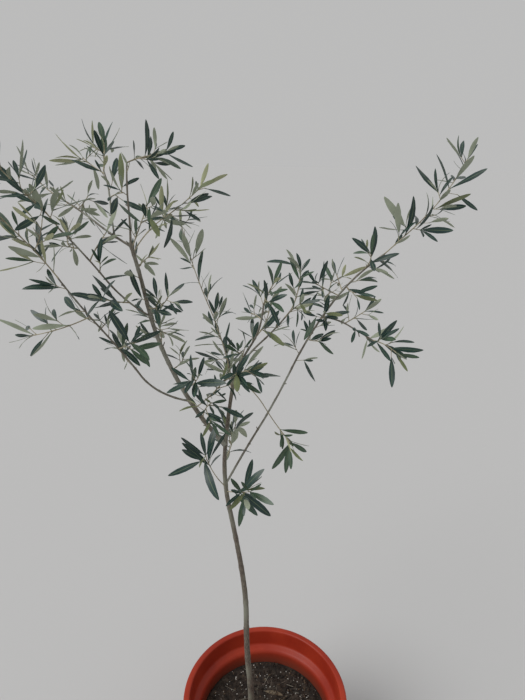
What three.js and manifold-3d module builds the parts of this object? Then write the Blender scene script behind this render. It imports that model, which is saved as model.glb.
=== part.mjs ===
// A young olive tree in a round plastic pot, in millimetres, +Z up.
// The origin is the centre of the pot's flat underside, +X runs to the right and +Y to the back.
// The tree is a thin trunk, boughs that leave it and each other, and leafy shoots that grow on from
// the boughs. Each limb is a tapering stem whose heading turns evenly between a few named headings.
// Each leafy shoot is one solid: its stem, its side shoots and its leaves, fused.
import * as THREE from 'three';
import { mergeVertices } from 'three/addons/utils/BufferGeometryUtils.js';
import Module from 'manifold-3d';

const wasm = await Module();
wasm.setup();
const { Manifold, Mesh: SolidMesh } = wasm;

// Pot: a stepped, slightly tapered tub with a rolled lip.
const POT_HEIGHT = 290;
const LIP_RADIUS = 174.6;
const LIP_INNER_RADIUS = 161;
const LIP_DROP = 13;
const BAND_DEPTH = 44;
const BAND_TAPER = 4;
const LEDGE_WIDTH = 12;
const LEDGE_DROP = 6;
const EDGE_ROUND = 3;
const BASE_RADIUS = 118;
const WALL = 3.6;
const POT_SIDES = 36;

// Soil: fills the pot to a low dome round the trunk.
const SOIL_TOP = 222;
const SOIL_EDGE_DROP = 6;
const SOIL_SHOULDER = 2.5;
const GAP = 0.3;

// Trunk's foot on the soil, a little left of the pot's axis, and its root flare.
const TRUNK_X = -30;
const TRUNK_Y = 0;
const FLARE = 3.2;
const FLARE_REACH = 20;

// Limbs: one length step is about this long, and a neighbour is cut this much clear.
const STEP = 24;
const TRUNK_SIDES = 8;
const BOUGH_SIDES = 6;
const TWIG_SIDES = 3;
const CARVE = 0.35;

// Each limb leaves its parent `at` millimetres along it. Azimuth (from +X towards +Y) and rise are
// degrees at even steps along the limb, and thick is its radius at its foot and its tip.
const LIMBS = [
  { name: 'trunk', azimuth: [210, 195, 180, 160, 190, 180, 195], rise: [90, 85, 90, 80, 80, 95, 100],
    length: 810, thick: [6.6, 3.0] },
  { name: 'bough_left', on: 'trunk', at: 675, azimuth: [205, 185, 205, 225, 230],
    rise: [50, 60, 70, 80, 75], length: 390, thick: [4.2, 2.8] },
  { name: 'bough_leader', on: 'bough_left', at: 388, azimuth: [80, 130, 50], rise: [85, 85, 85],
    length: 115, thick: [1.7, 1.1] },
  { name: 'bough_upper_left', on: 'bough_left', at: 385, azimuth: [160, 155, 160], rise: [20, 25, 20],
    length: 160, thick: [1.7, 1.2] },
  { name: 'bough_top_left', on: 'bough_upper_left', at: 35, azimuth: [125, 115, 140],
    rise: [60, 65, 55], length: 105, thick: [1.4, 1.1] },
  { name: 'bough_middle_left', on: 'bough_left', at: 270, azimuth: [220, 195, 210], rise: [35, 55, 50],
    length: 185, thick: [1.5, 1.2] },
  { name: 'bough_lower_left', on: 'bough_left', at: 105, azimuth: [195, 215, 220, 230],
    rise: [10, 60, 55, 60], length: 305, thick: [1.8, 1.2] },
  { name: 'bough_right', on: 'trunk', at: 590, azimuth: [10, 20, 25, 20, 15],
    rise: [65, 60, 65, 55, 35], length: 500, thick: [1.9, 1.5] },
  { name: 'bough_right_side', on: 'bough_right', at: 355, azimuth: [-5, -25, -15], rise: [0, -20, -25],
    length: 95, thick: [1.4, 1.1] },
  { name: 'bough_centre', on: 'trunk', at: 795, azimuth: [-40, -30, -70], rise: [70, 55, 75],
    length: 175, thick: [2.0, 1.3] },
  { name: 'bough_centre_right', on: 'trunk', at: 808, azimuth: [5, 5, 5], rise: [65, 45, 55],
    length: 150, thick: [1.8, 1.2] },
];

// Each shoot grows on from its bough or the trunk, `at` millimetres along it, and starts clear of it.
// pairs is the count of leaf pairs up its stem, the first at the share `first` of its length;
// side gives its side shoots as [count, length], and leaf is the mean leaf length. The draws of a
// shoot start from its place in this list.
const SHOOTS = [
  { name: 'upper_left_tip', on: 'bough_upper_left', at: 160, azimuth: [160, 155], rise: [20, 35],
    length: 70, pairs: 4, first: 0.25, leaf: 50 },
  { name: 'middle_left_tip', on: 'bough_middle_left', at: 185, azimuth: [210, 205, 215],
    rise: [60, 45, 60], length: 145, pairs: 6, first: 0.05, side: [1, 40], leaf: 50 },
  { name: 'middle_left_side', on: 'bough_middle_left', at: 150, azimuth: [180, 95], rise: [-10, 60],
    length: 40, pairs: 4, first: 0.1, side: [1, 25], leaf: 36 },
  { name: 'middle_left_shoot', on: 'bough_middle_left', at: 125, azimuth: [30, 70], rise: [65, 40],
    length: 50, pairs: 2, first: 0.4, leaf: 45 },
  { name: 'lower_left_tip', on: 'bough_lower_left', at: 305, azimuth: [220, 205, 225],
    rise: [60, 50, 60], length: 165, pairs: 6, first: 0.05, side: [1, 40], leaf: 52 },
  { name: 'lower_left_side', on: 'bough_lower_left', at: 230, azimuth: [200, 190], rise: [-25, -10],
    length: 95, pairs: 3, first: 0.3, leaf: 50 },
  { name: 'lower_left_spur', on: 'bough_lower_left', at: 205, azimuth: [100, 65], rise: [-10, 45],
    length: 20, pairs: 2, first: 0.2, leaf: 32 },
  { name: 'lower_left_base', on: 'bough_lower_left', at: 160, azimuth: [-15, -55], rise: [25, 30],
    length: 40, pairs: 3, first: 0.2, leaf: 50 },
  { name: 'middle_left_fan', on: 'bough_middle_left', at: 40, azimuth: [-95, -130], rise: [15, 20],
    length: 60, pairs: 4, first: 0.3, leaf: 50 },
  { name: 'top_left_tip', on: 'bough_top_left', at: 105, azimuth: [85, 115], rise: [70, 65], length: 40,
    pairs: 5, first: 0.1, side: [1, 25], leaf: 48 },
  { name: 'top_left_side', on: 'bough_top_left', at: 100, azimuth: [145, 140], rise: [15, 20],
    length: 70, pairs: 2, first: 0.6, leaf: 48 },
  { name: 'top_left_inner', on: 'bough_top_left', at: 60, azimuth: [-45, -35], rise: [20, 5],
    length: 50, pairs: 2, first: 0.2, leaf: 44 },
  { name: 'leader_tip', on: 'bough_leader', at: 115, azimuth: [35, 30, 30], rise: [25, 10, 20],
    length: 60, pairs: 4, first: 0.2, side: [1, 25], leaf: 42 },
  { name: 'leader_side', on: 'bough_left', at: 382, azimuth: [-25, -50], rise: [60, 45], length: 85,
    pairs: 3, first: 0.2, leaf: 40 },
  { name: 'leader_reach', on: 'bough_left', at: 375, azimuth: [70, 55, 55], rise: [45, 25, 35],
    length: 165, pairs: 5, first: 0.3, side: [1, 25], leaf: 46 },
  { name: 'left_upper_spur', on: 'bough_left', at: 350, azimuth: [75, 65], rise: [40, 15], length: 30,
    pairs: 2, first: 0.3, leaf: 34 },
  { name: 'left_middle_shoot', on: 'bough_left', at: 285, azimuth: [-35, -30], rise: [0, 55],
    length: 60, pairs: 3, first: 0.3, leaf: 38 },
  { name: 'left_middle_spur', on: 'bough_left', at: 255, azimuth: [50, 75], rise: [-50, -25],
    length: 40, pairs: 4, first: 0.1, leaf: 40 },
  { name: 'left_lower_spur', on: 'bough_left', at: 170, azimuth: [40, 85], rise: [15, 30], length: 30,
    pairs: 2, first: 0.4, leaf: 34 },
  { name: 'left_low_fan', on: 'bough_left', at: 130, azimuth: [-45, -55], rise: [25, 45], length: 80,
    pairs: 4, first: 0.5, side: [1, 20], leaf: 48 },
  { name: 'left_base_shoot', on: 'bough_left', at: 90, azimuth: [-25, -30, -25], rise: [40, 50, 20],
    length: 160, pairs: 5, first: 0.25, side: [2, 30], leaf: 42 },
  { name: 'left_base_fan', on: 'bough_left', at: 65, azimuth: [-65, -40], rise: [65, 35], length: 65,
    pairs: 5, first: 0.3, side: [1, 20], leaf: 36 },
  { name: 'centre_tip', on: 'trunk', at: 810, azimuth: [-40, -60], rise: [60, 60], length: 70, pairs: 3,
    first: 0.3, side: [1, 25], leaf: 46 },
  { name: 'centre_side', on: 'trunk', at: 780, azimuth: [125, 105], rise: [50, 55], length: 65,
    pairs: 4, first: 0.25, side: [1, 25], leaf: 38 },
  { name: 'centre_reach', on: 'trunk', at: 790, azimuth: [145, 155, 145], rise: [75, 60, 70],
    length: 285, pairs: 5, first: 0.25, leaf: 44 },
  { name: 'centre_droop', on: 'trunk', at: 806, azimuth: [-15, -25, -20], rise: [-20, -50, -40],
    length: 145, pairs: 3, first: 0.8, leaf: 44 },
  { name: 'trunk_left_fan', on: 'trunk', at: 585, azimuth: [-115, -100], rise: [50, 65], length: 120,
    pairs: 4, first: 0.7, leaf: 66 },
  { name: 'trunk_right_fan', on: 'trunk', at: 575, azimuth: [-40, -50], rise: [25, 35], length: 90,
    pairs: 5, first: 0.3, leaf: 52 },
  { name: 'centre_bough_tip', on: 'bough_centre', at: 175, azimuth: [-50, -40], rise: [60, 55],
    length: 40, pairs: 4, first: 0.1, leaf: 46 },
  { name: 'centre_bough_spur', on: 'bough_centre', at: 145, azimuth: [120, 145], rise: [10, 0],
    length: 30, pairs: 2, first: 0.3, leaf: 36 },
  { name: 'centre_right_tip', on: 'bough_centre_right', at: 150, azimuth: [15, 80], rise: [65, 85],
    length: 65, pairs: 4, first: 0.3, leaf: 46 },
  { name: 'centre_right_side', on: 'bough_centre_right', at: 135, azimuth: [-60, -45], rise: [40, 35],
    length: 55, pairs: 3, first: 0.3, leaf: 36 },
  { name: 'right_inner_shoot', on: 'bough_right', at: 400, azimuth: [185, 215], rise: [25, 30],
    length: 45, pairs: 3, first: 0.4, leaf: 40 },
  { name: 'right_whorl', on: 'bough_right', at: 350, azimuth: [-55, -85], rise: [30, 40], length: 30,
    pairs: 4, first: 0.2, leaf: 42 },
  { name: 'right_low_spur', on: 'bough_right', at: 310, azimuth: [-65, -45], rise: [10, 15], length: 35,
    pairs: 2, first: 0.2, leaf: 36 },
  { name: 'right_upper_spur', on: 'bough_right', at: 410, azimuth: [110, 120], rise: [25, 50],
    length: 35, pairs: 3, first: 0.2, leaf: 38 },
  { name: 'right_lower_spur', on: 'bough_right', at: 420, azimuth: [-40, -45], rise: [-50, 20],
    length: 25, pairs: 2, first: 0.3, leaf: 44 },
  { name: 'right_crown_spur', on: 'bough_right', at: 460, azimuth: [-40, -105], rise: [50, 45],
    length: 40, pairs: 4, first: 0.1, leaf: 42 },
  { name: 'right_tip', on: 'bough_right', at: 500, azimuth: [5, 10, 15, 20], rise: [45, 45, 55, 65],
    length: 190, pairs: 8, first: 0.1, leaf: 52 },
  { name: 'right_side_spur', on: 'bough_right_side', at: 40, azimuth: [45, 35], rise: [15, 25],
    length: 45, pairs: 3, first: 0.1, leaf: 38 },
  { name: 'trunk_back_shoot', on: 'trunk', at: 640, azimuth: [70, 95], rise: [30, 50], length: 75,
    pairs: 4, first: 0.25, side: [1, 25], leaf: 46 },
  { name: 'left_back_shoot', on: 'bough_left', at: 215, azimuth: [105, 125], rise: [20, 40], length: 70,
    pairs: 4, first: 0.25, side: [1, 25], leaf: 44 },
  { name: 'lower_left_back', on: 'bough_lower_left', at: 120, azimuth: [150, 120], rise: [15, 30],
    length: 60, pairs: 3, first: 0.25, leaf: 44 },
  { name: 'upper_left_back', on: 'bough_upper_left', at: 120, azimuth: [110, 90], rise: [0, 30],
    length: 60, pairs: 3, first: 0.25, leaf: 44 },
  { name: 'right_back_shoot', on: 'bough_right', at: 375, azimuth: [100, 80], rise: [20, 45],
    length: 60, pairs: 3, first: 0.25, side: [1, 20], leaf: 42 },
  { name: 'centre_back_shoot', on: 'bough_centre', at: 110, azimuth: [60, 85], rise: [25, 45],
    length: 55, pairs: 3, first: 0.25, leaf: 42 },
  { name: 'right_side_tip', on: 'bough_right_side', at: 95, azimuth: [-25, -35], rise: [0, -30],
    length: 45, pairs: 4, first: 0.1, leaf: 42 },
];

// A leaf is a slim pointed blade, widest a little below its middle, rooted inside its twig.
const LEAF_WIDEST = 0.45;
const LEAF_ROOT_DEPTH = 0.15;
const LEAF_ROOT_THICK = 1.1;
const LEAF_SLENDER = [4.0, 5.4];
const LEAF_SIZE = [0.6, 1.3];
const LEAF_SPREAD = [28, 92];
const LEAF_TILT = [-40, 40];
const LEAF_SWAY = [-12, 12];
const LEAF_FALLEN = 0.18;

// Pairs cross each other up a shoot, the later ones closer to it, and the last stand at its tip.
const PAIR_TURN = [68, 112];
const PAIR_SHIFT = [-0.2, 0.2];
const PAIR_STAGGER = 1.4;
const LAST_PAIR = 0.97;
const PAIR_MARGIN = 0.02;
const SPREAD_LOSS = 0.25;
const TIP_LEAF_SIZE = [0.45, 0.95];
const TIP_LEAF_SPREAD = [14, 38];

// Side shoots carry two pairs of smaller leaves on their outer half.
const SIDE_SPREAD = [35, 70];
const SIDE_SIZE = [0.7, 1.2];
const SIDE_LIFT = [-5, 25];
const SIDE_PLACE = [0.1, 0.9];
const SIDE_LAST = 0.95;
const SIDE_LEAF = 0.8;
const STEM_FOOT = 1.5;
const STEM_TIP = 1.15;
const SIDE_THICK = [1.25, 1.1];

// Room that a leaf keeps to another shoot, and the outer part and share of it that its own shoot's
// leaves stay clear of.
const LEAF_ROOM = 1.2;
const LEAF_ROUND = 0.7;
const OWN_LEAF_FROM = 0.35;
const OWN_LEAF_SHARE = 0.7;

const COLOURS = { pot: 0x8f2a1c, soil: 0x2b211a, bark: 0x7c7159, leaf: 0x4d5f48 };

const radians = (degrees) => THREE.MathUtils.degToRad(degrees);

// The value at a share f of a limb, between values given at even steps.
function along(values, f) {
  const k = f * (values.length - 1);
  const i = Math.min(Math.floor(k), values.length - 2);
  return values[i] + (values[i + 1] - values[i]) * (k - i);
}

// A small seeded generator whose draws are the same on every machine.
function drawsFrom(seed) {
  let state = seed * 7919 + 17;
  const next = () => {
    state = (state * 48271) % 2147483647;
    return state / 2147483647;
  };
  for (let k = 0; k < 3; k += 1) next();
  return (low, high) => low + (high - low) * next();
}

// The direction across a limb that runs along t, turned round it by roll degrees.
function across(t, roll) {
  const lean = Math.abs(t.z) < 0.96 ? new THREE.Vector3(0, 0, 1) : new THREE.Vector3(1, 0, 0);
  const side = new THREE.Vector3().crossVectors(t, lean).normalize();
  const over = new THREE.Vector3().crossVectors(side, t);
  const turn = radians(roll);
  return side.multiplyScalar(Math.cos(turn)).addScaledVector(over, Math.sin(turn));
}

// A tapering limb: its centre line, its radius, and a side direction carried along it without twist.
class Limb {
  constructor({ start, azimuth, rise, length, thick, flare = 0 }) {
    Object.assign(this, { azimuth, rise, length, thick, flare });
    this.steps = Math.max(3, Math.round(length / STEP));
    this.points = [start.clone()];
    for (let k = 0; k < this.steps; k += 1) {
      const ahead = this.heading((k + 0.5) / this.steps).multiplyScalar(length / this.steps);
      this.points.push(this.points[k].clone().add(ahead));
    }
    this.sides = [across(this.heading(0), 0)];
    for (let k = 1; k <= this.steps; k += 1) {
      const t = this.heading(k / this.steps);
      const before = this.sides[k - 1];
      this.sides.push(before.clone().addScaledVector(t, -before.dot(t)).normalize());
    }
  }

  heading(f) {
    const a = radians(along(this.azimuth, f));
    const r = radians(along(this.rise, f));
    return new THREE.Vector3(Math.cos(r) * Math.cos(a), Math.cos(r) * Math.sin(a), Math.sin(r));
  }

  point(f) {
    const k = f * this.steps;
    const i = Math.min(Math.floor(k), this.steps - 1);
    return this.points[i].clone().lerp(this.points[i + 1], k - i);
  }

  radius(f) {
    const flare = this.flare * Math.exp((-f * this.length) / FLARE_REACH);
    return this.thick[0] + (this.thick[1] - this.thick[0]) * f + flare;
  }
}

// A cylinder geometry bent along a limb, grown all round by `extra`.
function limbGeometry(limb, sides, extra = 0) {
  const geometry = new THREE.CylinderGeometry(1, 1, 1, sides, limb.steps);
  const place = geometry.attributes.position;
  for (let i = 0; i < place.count; i += 1) {
    const f = place.getY(i) + 0.5;
    const k = Math.round(f * limb.steps);
    const t = limb.heading(k / limb.steps);
    const side = limb.sides[k];
    const over = new THREE.Vector3().crossVectors(side, t);
    const r = limb.radius(f) + extra;
    const end = (k === limb.steps ? extra : 0) - (k === 0 ? extra : 0);
    const at = limb.points[k].clone().addScaledVector(side, place.getX(i) * r);
    at.addScaledVector(over, place.getZ(i) * r).addScaledVector(t, end);
    place.setXYZ(i, at.x, at.y, at.z);
  }
  return geometry;
}

// A leaf's closed blade of six faces: a thin edge at its root, a corner at each side and one tip.
function leafGeometry(leaf) {
  const { root, ahead, side, face, length, width } = leaf;
  const corner = (reach, out, over) => root.clone().addScaledVector(ahead, reach)
    .addScaledVector(side, out).addScaledVector(face, over).toArray();
  const corners = [
    corner(-LEAF_ROOT_DEPTH, 0, LEAF_ROOT_THICK / 2), corner(-LEAF_ROOT_DEPTH, 0, -LEAF_ROOT_THICK / 2),
    corner(length * LEAF_WIDEST, width / 2, 0), corner(length * LEAF_WIDEST, -width / 2, 0),
    corner(length, 0, 0),
  ];
  const geometry = new THREE.BufferGeometry();
  geometry.setAttribute('position', new THREE.Float32BufferAttribute(corners.flat(), 3));
  geometry.setIndex([0, 2, 4, 0, 4, 3, 1, 4, 2, 1, 3, 4, 0, 1, 2, 0, 3, 1]);
  return geometry;
}

function leafOn(limb, f, roll, spread, length, slender, tilt) {
  const t = limb.heading(f);
  const turn = radians(spread);
  const ahead = t.clone().multiplyScalar(Math.cos(turn));
  ahead.addScaledVector(across(t, roll), Math.sin(turn));
  const face = t.clone().addScaledVector(ahead, -ahead.dot(t)).normalize();
  const side = new THREE.Vector3().crossVectors(ahead, face).normalize();
  const lean = radians(tilt);
  const tilted = face.clone().multiplyScalar(Math.cos(lean)).addScaledVector(side, Math.sin(lean));
  side.multiplyScalar(Math.cos(lean)).addScaledVector(face, -Math.sin(lean));
  return { root: limb.point(f), ahead, face: tilted, side, length, width: length / slender };
}

// Pairs of leaves up a shoot, each about a quarter turn on from the last, and two at its tip.
function addPairs(limb, count, first, size, draw, leaves) {
  let roll = draw(0, 360);
  for (let k = 0; k < count; k += 1) {
    const even = first + ((LAST_PAIR - first) * (k + draw(...PAIR_SHIFT))) / (count - 1);
    const f = THREE.MathUtils.clamp(even, PAIR_MARGIN, 1 - PAIR_MARGIN);
    roll += draw(...PAIR_TURN);
    for (const half of [0, 180]) {
      const spread = draw(...LEAF_SPREAD) * (1 - SPREAD_LOSS * f);
      const length = size * draw(...LEAF_SIZE);
      const slender = draw(...LEAF_SLENDER);
      const tilt = draw(...LEAF_TILT);
      if (draw(0, 1) > LEAF_FALLEN) {
        const at = f + ((half ? 0.5 : -0.5) * PAIR_STAGGER) / limb.length;
        const turn = roll + half + draw(...LEAF_SWAY);
        leaves.push({ twig: limb, ...leafOn(limb, at, turn, spread, length, slender, tilt) });
      }
    }
  }
  for (const half of [0, 180]) {
    const spread = draw(...TIP_LEAF_SPREAD);
    const length = size * draw(...TIP_LEAF_SIZE);
    const slender = draw(...LEAF_SLENDER);
    const tilt = draw(...LEAF_TILT);
    leaves.push({ twig: limb, ...leafOn(limb, 1, roll + 90 + half, spread, length, slender, tilt) });
  }
}

// Everything that has been placed, as straight stretches with a round radius and a flat half width.
const placed = [];

function stretchesOf(limb, owner) {
  const stretches = [];
  for (let k = 0; k < limb.steps; k += 1) {
    const round = limb.radius(k / limb.steps);
    stretches.push({ from: limb.points[k], to: limb.points[k + 1], round, flat: 0, side: null, owner });
  }
  return stretches;
}

function stretchOf(leaf, owner) {
  const to = leaf.root.clone().addScaledVector(leaf.ahead, leaf.length);
  return { from: leaf.root, to, round: LEAF_ROUND, flat: leaf.width / 2, side: leaf.side, owner };
}

// The shortest line between two straight stretches, from the first to the second.
function between(a, b) {
  const u = a.to.clone().sub(a.from);
  const v = b.to.clone().sub(b.from);
  const w = a.from.clone().sub(b.from);
  const [uu, uv, vv, uw, vw] = [u.dot(u), u.dot(v), v.dot(v), u.dot(w), v.dot(w)];
  const spread = uu * vv - uv * uv;
  let s = spread > 1e-9 ? THREE.MathUtils.clamp((uv * vw - vv * uw) / spread, 0, 1) : 0;
  const t = THREE.MathUtils.clamp((uv * s + vw) / vv, 0, 1);
  s = THREE.MathUtils.clamp((uv * t - uw) / uu, 0, 1);
  return b.from.clone().addScaledVector(v, t).sub(a.from.clone().addScaledVector(u, s));
}

function isClear(a, b, share, room) {
  const gap = between(a, b);
  const distance = gap.length();
  if (distance < 1e-6) return false;
  const reach = (stretch) => stretch.round
    + (stretch.side ? (share * stretch.flat * Math.abs(stretch.side.dot(gap))) / distance : 0);
  return distance > reach(a) + reach(b) + room;
}

// A leaf's outer part, which is all that its own shoot's other leaves have to stay clear of.
const outer = (stretch) => ({ ...stretch, from: stretch.from.clone().lerp(stretch.to, OWN_LEAF_FROM) });

function hasRoom(stretch) {
  return placed.every((other) => {
    if (other.owner !== stretch.owner) return isClear(stretch, other, 1, LEAF_ROOM);
    if (!stretch.side || !other.side) return true;
    return isClear(outer(stretch), outer(other), OWN_LEAF_SHARE, 0);
  });
}

// A shoot's twigs and the leaves that find room, on a stem that is already in place.
function growShoot(row, stem, seed) {
  const draw = drawsFrom(seed);
  const twigs = [stem];
  const leaves = [];
  addPairs(stem, row.pairs, row.first, row.leaf, draw, leaves);
  const [count, reach] = row.side ?? [0, 0];
  for (let k = 0; k < count; k += 1) {
    const f = row.first + ((SIDE_LAST - row.first) * (k + draw(...SIDE_PLACE))) / count;
    const t = stem.heading(f);
    const u = across(t, draw(0, 360));
    const turn = radians(draw(...SIDE_SPREAD));
    const d = t.multiplyScalar(Math.cos(turn)).addScaledVector(u, Math.sin(turn));
    const azimuth = THREE.MathUtils.radToDeg(Math.atan2(d.y, d.x));
    const rise = THREE.MathUtils.radToDeg(Math.asin(d.z));
    const lift = draw(...SIDE_LIFT);
    const length = reach * draw(...SIDE_SIZE);
    twigs.push(new Limb({ start: stem.point(f), azimuth: [azimuth, azimuth], rise: [rise, rise + lift],
      length, thick: SIDE_THICK }));
    addPairs(twigs.at(-1), 2, 0.5, row.leaf * SIDE_LEAF, draw, leaves);
  }
  const kept = twigs.filter((twig, k) => k === 0
    || stretchesOf(twig, row.name).every((stretch) => hasRoom(stretch)));
  kept.slice(1).forEach((twig) => placed.push(...stretchesOf(twig, row.name)));
  const grown = leaves.filter((leaf) => {
    const stretch = stretchOf(leaf, row.name);
    if (!kept.includes(leaf.twig) || !hasRoom(stretch)) return false;
    placed.push(stretch);
    return true;
  });
  return { twigs: kept, leaves: grown };
}

// A closed geometry as a solid, and a solid as a geometry.
function solidOf(geometry) {
  geometry.deleteAttribute('normal');
  geometry.deleteAttribute('uv');
  const merged = mergeVertices(geometry, 1e-4);
  return new Manifold(new SolidMesh({ numProp: 3,
    vertProperties: Float32Array.from(merged.attributes.position.array),
    triVerts: Uint32Array.from(merged.index.array) }));
}

function geometryOf(solid) {
  const { numProp, vertProperties, triVerts } = solid.getMesh();
  const positions = [];
  for (let i = 0; i < vertProperties.length; i += numProp) positions.push(...vertProperties.slice(i, i + 3));
  const geometry = new THREE.BufferGeometry();
  geometry.setAttribute('position', new THREE.Float32BufferAttribute(positions, 3));
  geometry.setIndex([...triVerts]);
  geometry.computeVertexNormals();
  return geometry;
}

// The largest piece of a solid: scraps that a cut leaves behind are dropped.
const largest = (solid) => solid.decompose().sort((a, b) => b.volume() - a.volume())[0];

function meshOf(name, geometry, colour, roughness) {
  const mesh = new THREE.Mesh(geometry, new THREE.MeshStandardMaterial({ color: colour, roughness, metalness: 0 }));
  mesh.name = name;
  return mesh;
}

// Pot: one turned wall with a flat base, an inner ledge under the band, and a rolled lip.
const wallLean = (LIP_INNER_RADIUS - LEDGE_WIDTH - WALL - BASE_RADIUS) / (POT_HEIGHT - BAND_DEPTH);
const wallRadius = (z) => BASE_RADIUS + wallLean * z;
const innerRadius = (z) => wallRadius(z) - WALL;

function makePot() {
  const shoulder = POT_HEIGHT - BAND_DEPTH;
  const bandFoot = LIP_INNER_RADIUS - BAND_TAPER;
  const lipFoot = POT_HEIGHT - LIP_DROP;
  const outline = [
    [0, 0], [BASE_RADIUS - EDGE_ROUND, 0], [BASE_RADIUS, EDGE_ROUND],
    [wallRadius(shoulder - BAND_TAPER), shoulder - BAND_TAPER], [bandFoot + WALL, shoulder],
    [LIP_INNER_RADIUS + WALL, lipFoot], [LIP_RADIUS, lipFoot],
    [LIP_RADIUS, POT_HEIGHT - EDGE_ROUND], [LIP_RADIUS - EDGE_ROUND, POT_HEIGHT],
    [LIP_INNER_RADIUS + EDGE_ROUND, POT_HEIGHT], [LIP_INNER_RADIUS, POT_HEIGHT - EDGE_ROUND],
    [bandFoot, shoulder + LEDGE_DROP], [bandFoot - LEDGE_WIDTH, shoulder],
    [innerRadius(shoulder - LEDGE_DROP), shoulder - LEDGE_DROP], [innerRadius(WALL), WALL], [0, WALL],
  ];
  return new THREE.LatheGeometry(outline.map(([r, z]) => new THREE.Vector2(r, z)), POT_SIDES);
}

function makeSoil() {
  const foot = WALL + GAP;
  const edge = SOIL_TOP - SOIL_EDGE_DROP;
  const outline = [
    [0, foot], [innerRadius(foot) - 2 * GAP, foot], [innerRadius(edge) - 2 * GAP, edge],
    [innerRadius(edge) * 0.86, SOIL_TOP - SOIL_SHOULDER], [innerRadius(edge) * 0.5, SOIL_TOP], [0, SOIL_TOP],
  ];
  return new THREE.LatheGeometry(outline.map(([r, z]) => new THREE.Vector2(r, z)), POT_SIDES);
}

const olive = new THREE.Group();
const potted = new THREE.Group();
potted.rotation.x = Math.PI / 2;
potted.add(meshOf('pot', makePot(), COLOURS.pot, 0.5), meshOf('soil', makeSoil(), COLOURS.soil, 0.95));
olive.add(potted);

const tree = new THREE.Group();
tree.position.set(TRUNK_X, TRUNK_Y, SOIL_TOP + GAP);
olive.add(tree);

// Limbs in the order that they branch, then the shoots' stems, each cut clear of those before it.
const limbs = {};
const cutters = [];
const boxesMeet = (a, b) => a.min.every((low, k) => low < b.max[k]) && b.min.every((low, k) => low < a.max[k]);

function carve(solid, owner) {
  const box = solid.boundingBox();
  const near = cutters.filter((cutter) => cutter.owner !== owner && boxesMeet(box, cutter.box));
  return largest(near.reduce((left, cutter) => left.subtract(cutter.solid), solid));
}

function addLimb(row, sides, parent, thick) {
  const start = parent ? parent.point(row.at / parent.length) : new THREE.Vector3();
  const limb = new Limb({ ...row, start, thick, flare: parent ? 0 : FLARE });
  const solid = solidOf(limbGeometry(limb, sides, CARVE));
  placed.push(...stretchesOf(limb, row.name));
  cutters.push({ owner: row.name, solid, box: solid.boundingBox() });
  return limb;
}

for (const row of LIMBS) {
  const sides = row.on ? BOUGH_SIDES : TRUNK_SIDES;
  const limb = addLimb(row, sides, limbs[row.on], row.thick);
  tree.add(meshOf(row.name, geometryOf(carve(solidOf(limbGeometry(limb, sides)), row.name)), COLOURS.bark, 0.85));
  limbs[row.name] = limb;
}

const stems = SHOOTS.map((row) => addLimb(row, TWIG_SIDES, limbs[row.on], [STEM_FOOT, STEM_TIP]));

SHOOTS.forEach((row, k) => {
  const { twigs, leaves } = growShoot(row, stems[k], k + 1);
  const pieces = [...twigs.map((limb) => limbGeometry(limb, TWIG_SIDES)), ...leaves.map(leafGeometry)];
  const fused = Manifold.union(pieces.map(solidOf));
  tree.add(meshOf(row.name, geometryOf(carve(fused, row.name)), COLOURS.leaf, 0.6));
});

export default olive;
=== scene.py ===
"""A young olive tree in a round plastic pot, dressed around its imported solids."""

import math

import bpy
import numpy as np
from mathutils import Matrix, Vector


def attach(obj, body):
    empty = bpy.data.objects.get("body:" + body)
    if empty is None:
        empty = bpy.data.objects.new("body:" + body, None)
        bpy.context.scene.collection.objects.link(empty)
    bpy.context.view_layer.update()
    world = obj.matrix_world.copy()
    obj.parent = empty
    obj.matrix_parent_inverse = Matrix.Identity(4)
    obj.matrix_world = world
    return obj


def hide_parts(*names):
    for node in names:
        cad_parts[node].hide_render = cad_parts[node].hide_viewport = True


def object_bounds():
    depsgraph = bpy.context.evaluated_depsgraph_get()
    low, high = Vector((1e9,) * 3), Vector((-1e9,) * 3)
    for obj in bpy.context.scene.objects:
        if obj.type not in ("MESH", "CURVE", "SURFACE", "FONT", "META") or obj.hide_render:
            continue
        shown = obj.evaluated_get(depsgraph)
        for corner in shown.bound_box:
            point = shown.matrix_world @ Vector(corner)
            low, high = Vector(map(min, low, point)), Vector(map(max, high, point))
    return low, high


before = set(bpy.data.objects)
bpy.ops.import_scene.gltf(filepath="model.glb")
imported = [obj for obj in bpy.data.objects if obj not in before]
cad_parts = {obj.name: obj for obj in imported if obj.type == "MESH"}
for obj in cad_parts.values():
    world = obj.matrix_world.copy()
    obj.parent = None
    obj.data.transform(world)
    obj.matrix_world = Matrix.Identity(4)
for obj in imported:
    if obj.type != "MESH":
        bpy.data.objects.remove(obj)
cad_box = [list(corner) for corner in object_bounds()]

# Camera: chest height, close in front of the tree, turned a little to the left and tilted down,
# so that the pot is cut by the lower edge and the furthest left leaves by the left edge.
EYE = (0.112, -0.806, 1.380)
TURNED_LEFT = 9.11
TILTED_DOWN = 20.37
ROLLED = 0.88
FOCAL_PIXELS = 531.4
PHOTO_HEIGHT = 700
SENSOR = 36.0
FURTHEST_SEEN = 200

camera = bpy.data.objects.new("camera", bpy.data.cameras.new("camera"))
bpy.context.scene.collection.objects.link(camera)
camera.data.sensor_width = SENSOR
camera.data.lens = FOCAL_PIXELS / PHOTO_HEIGHT * SENSOR
camera.data.clip_end = FURTHEST_SEEN
camera.matrix_world = (
    Matrix.Translation(EYE)
    @ Matrix.Rotation(math.radians(TURNED_LEFT), 4, "Z")
    @ Matrix.Rotation(math.radians(90 - TILTED_DOWN), 4, "X")
    @ Matrix.Rotation(math.radians(ROLLED), 4, "Z")
)
bpy.context.scene.camera = camera

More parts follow.
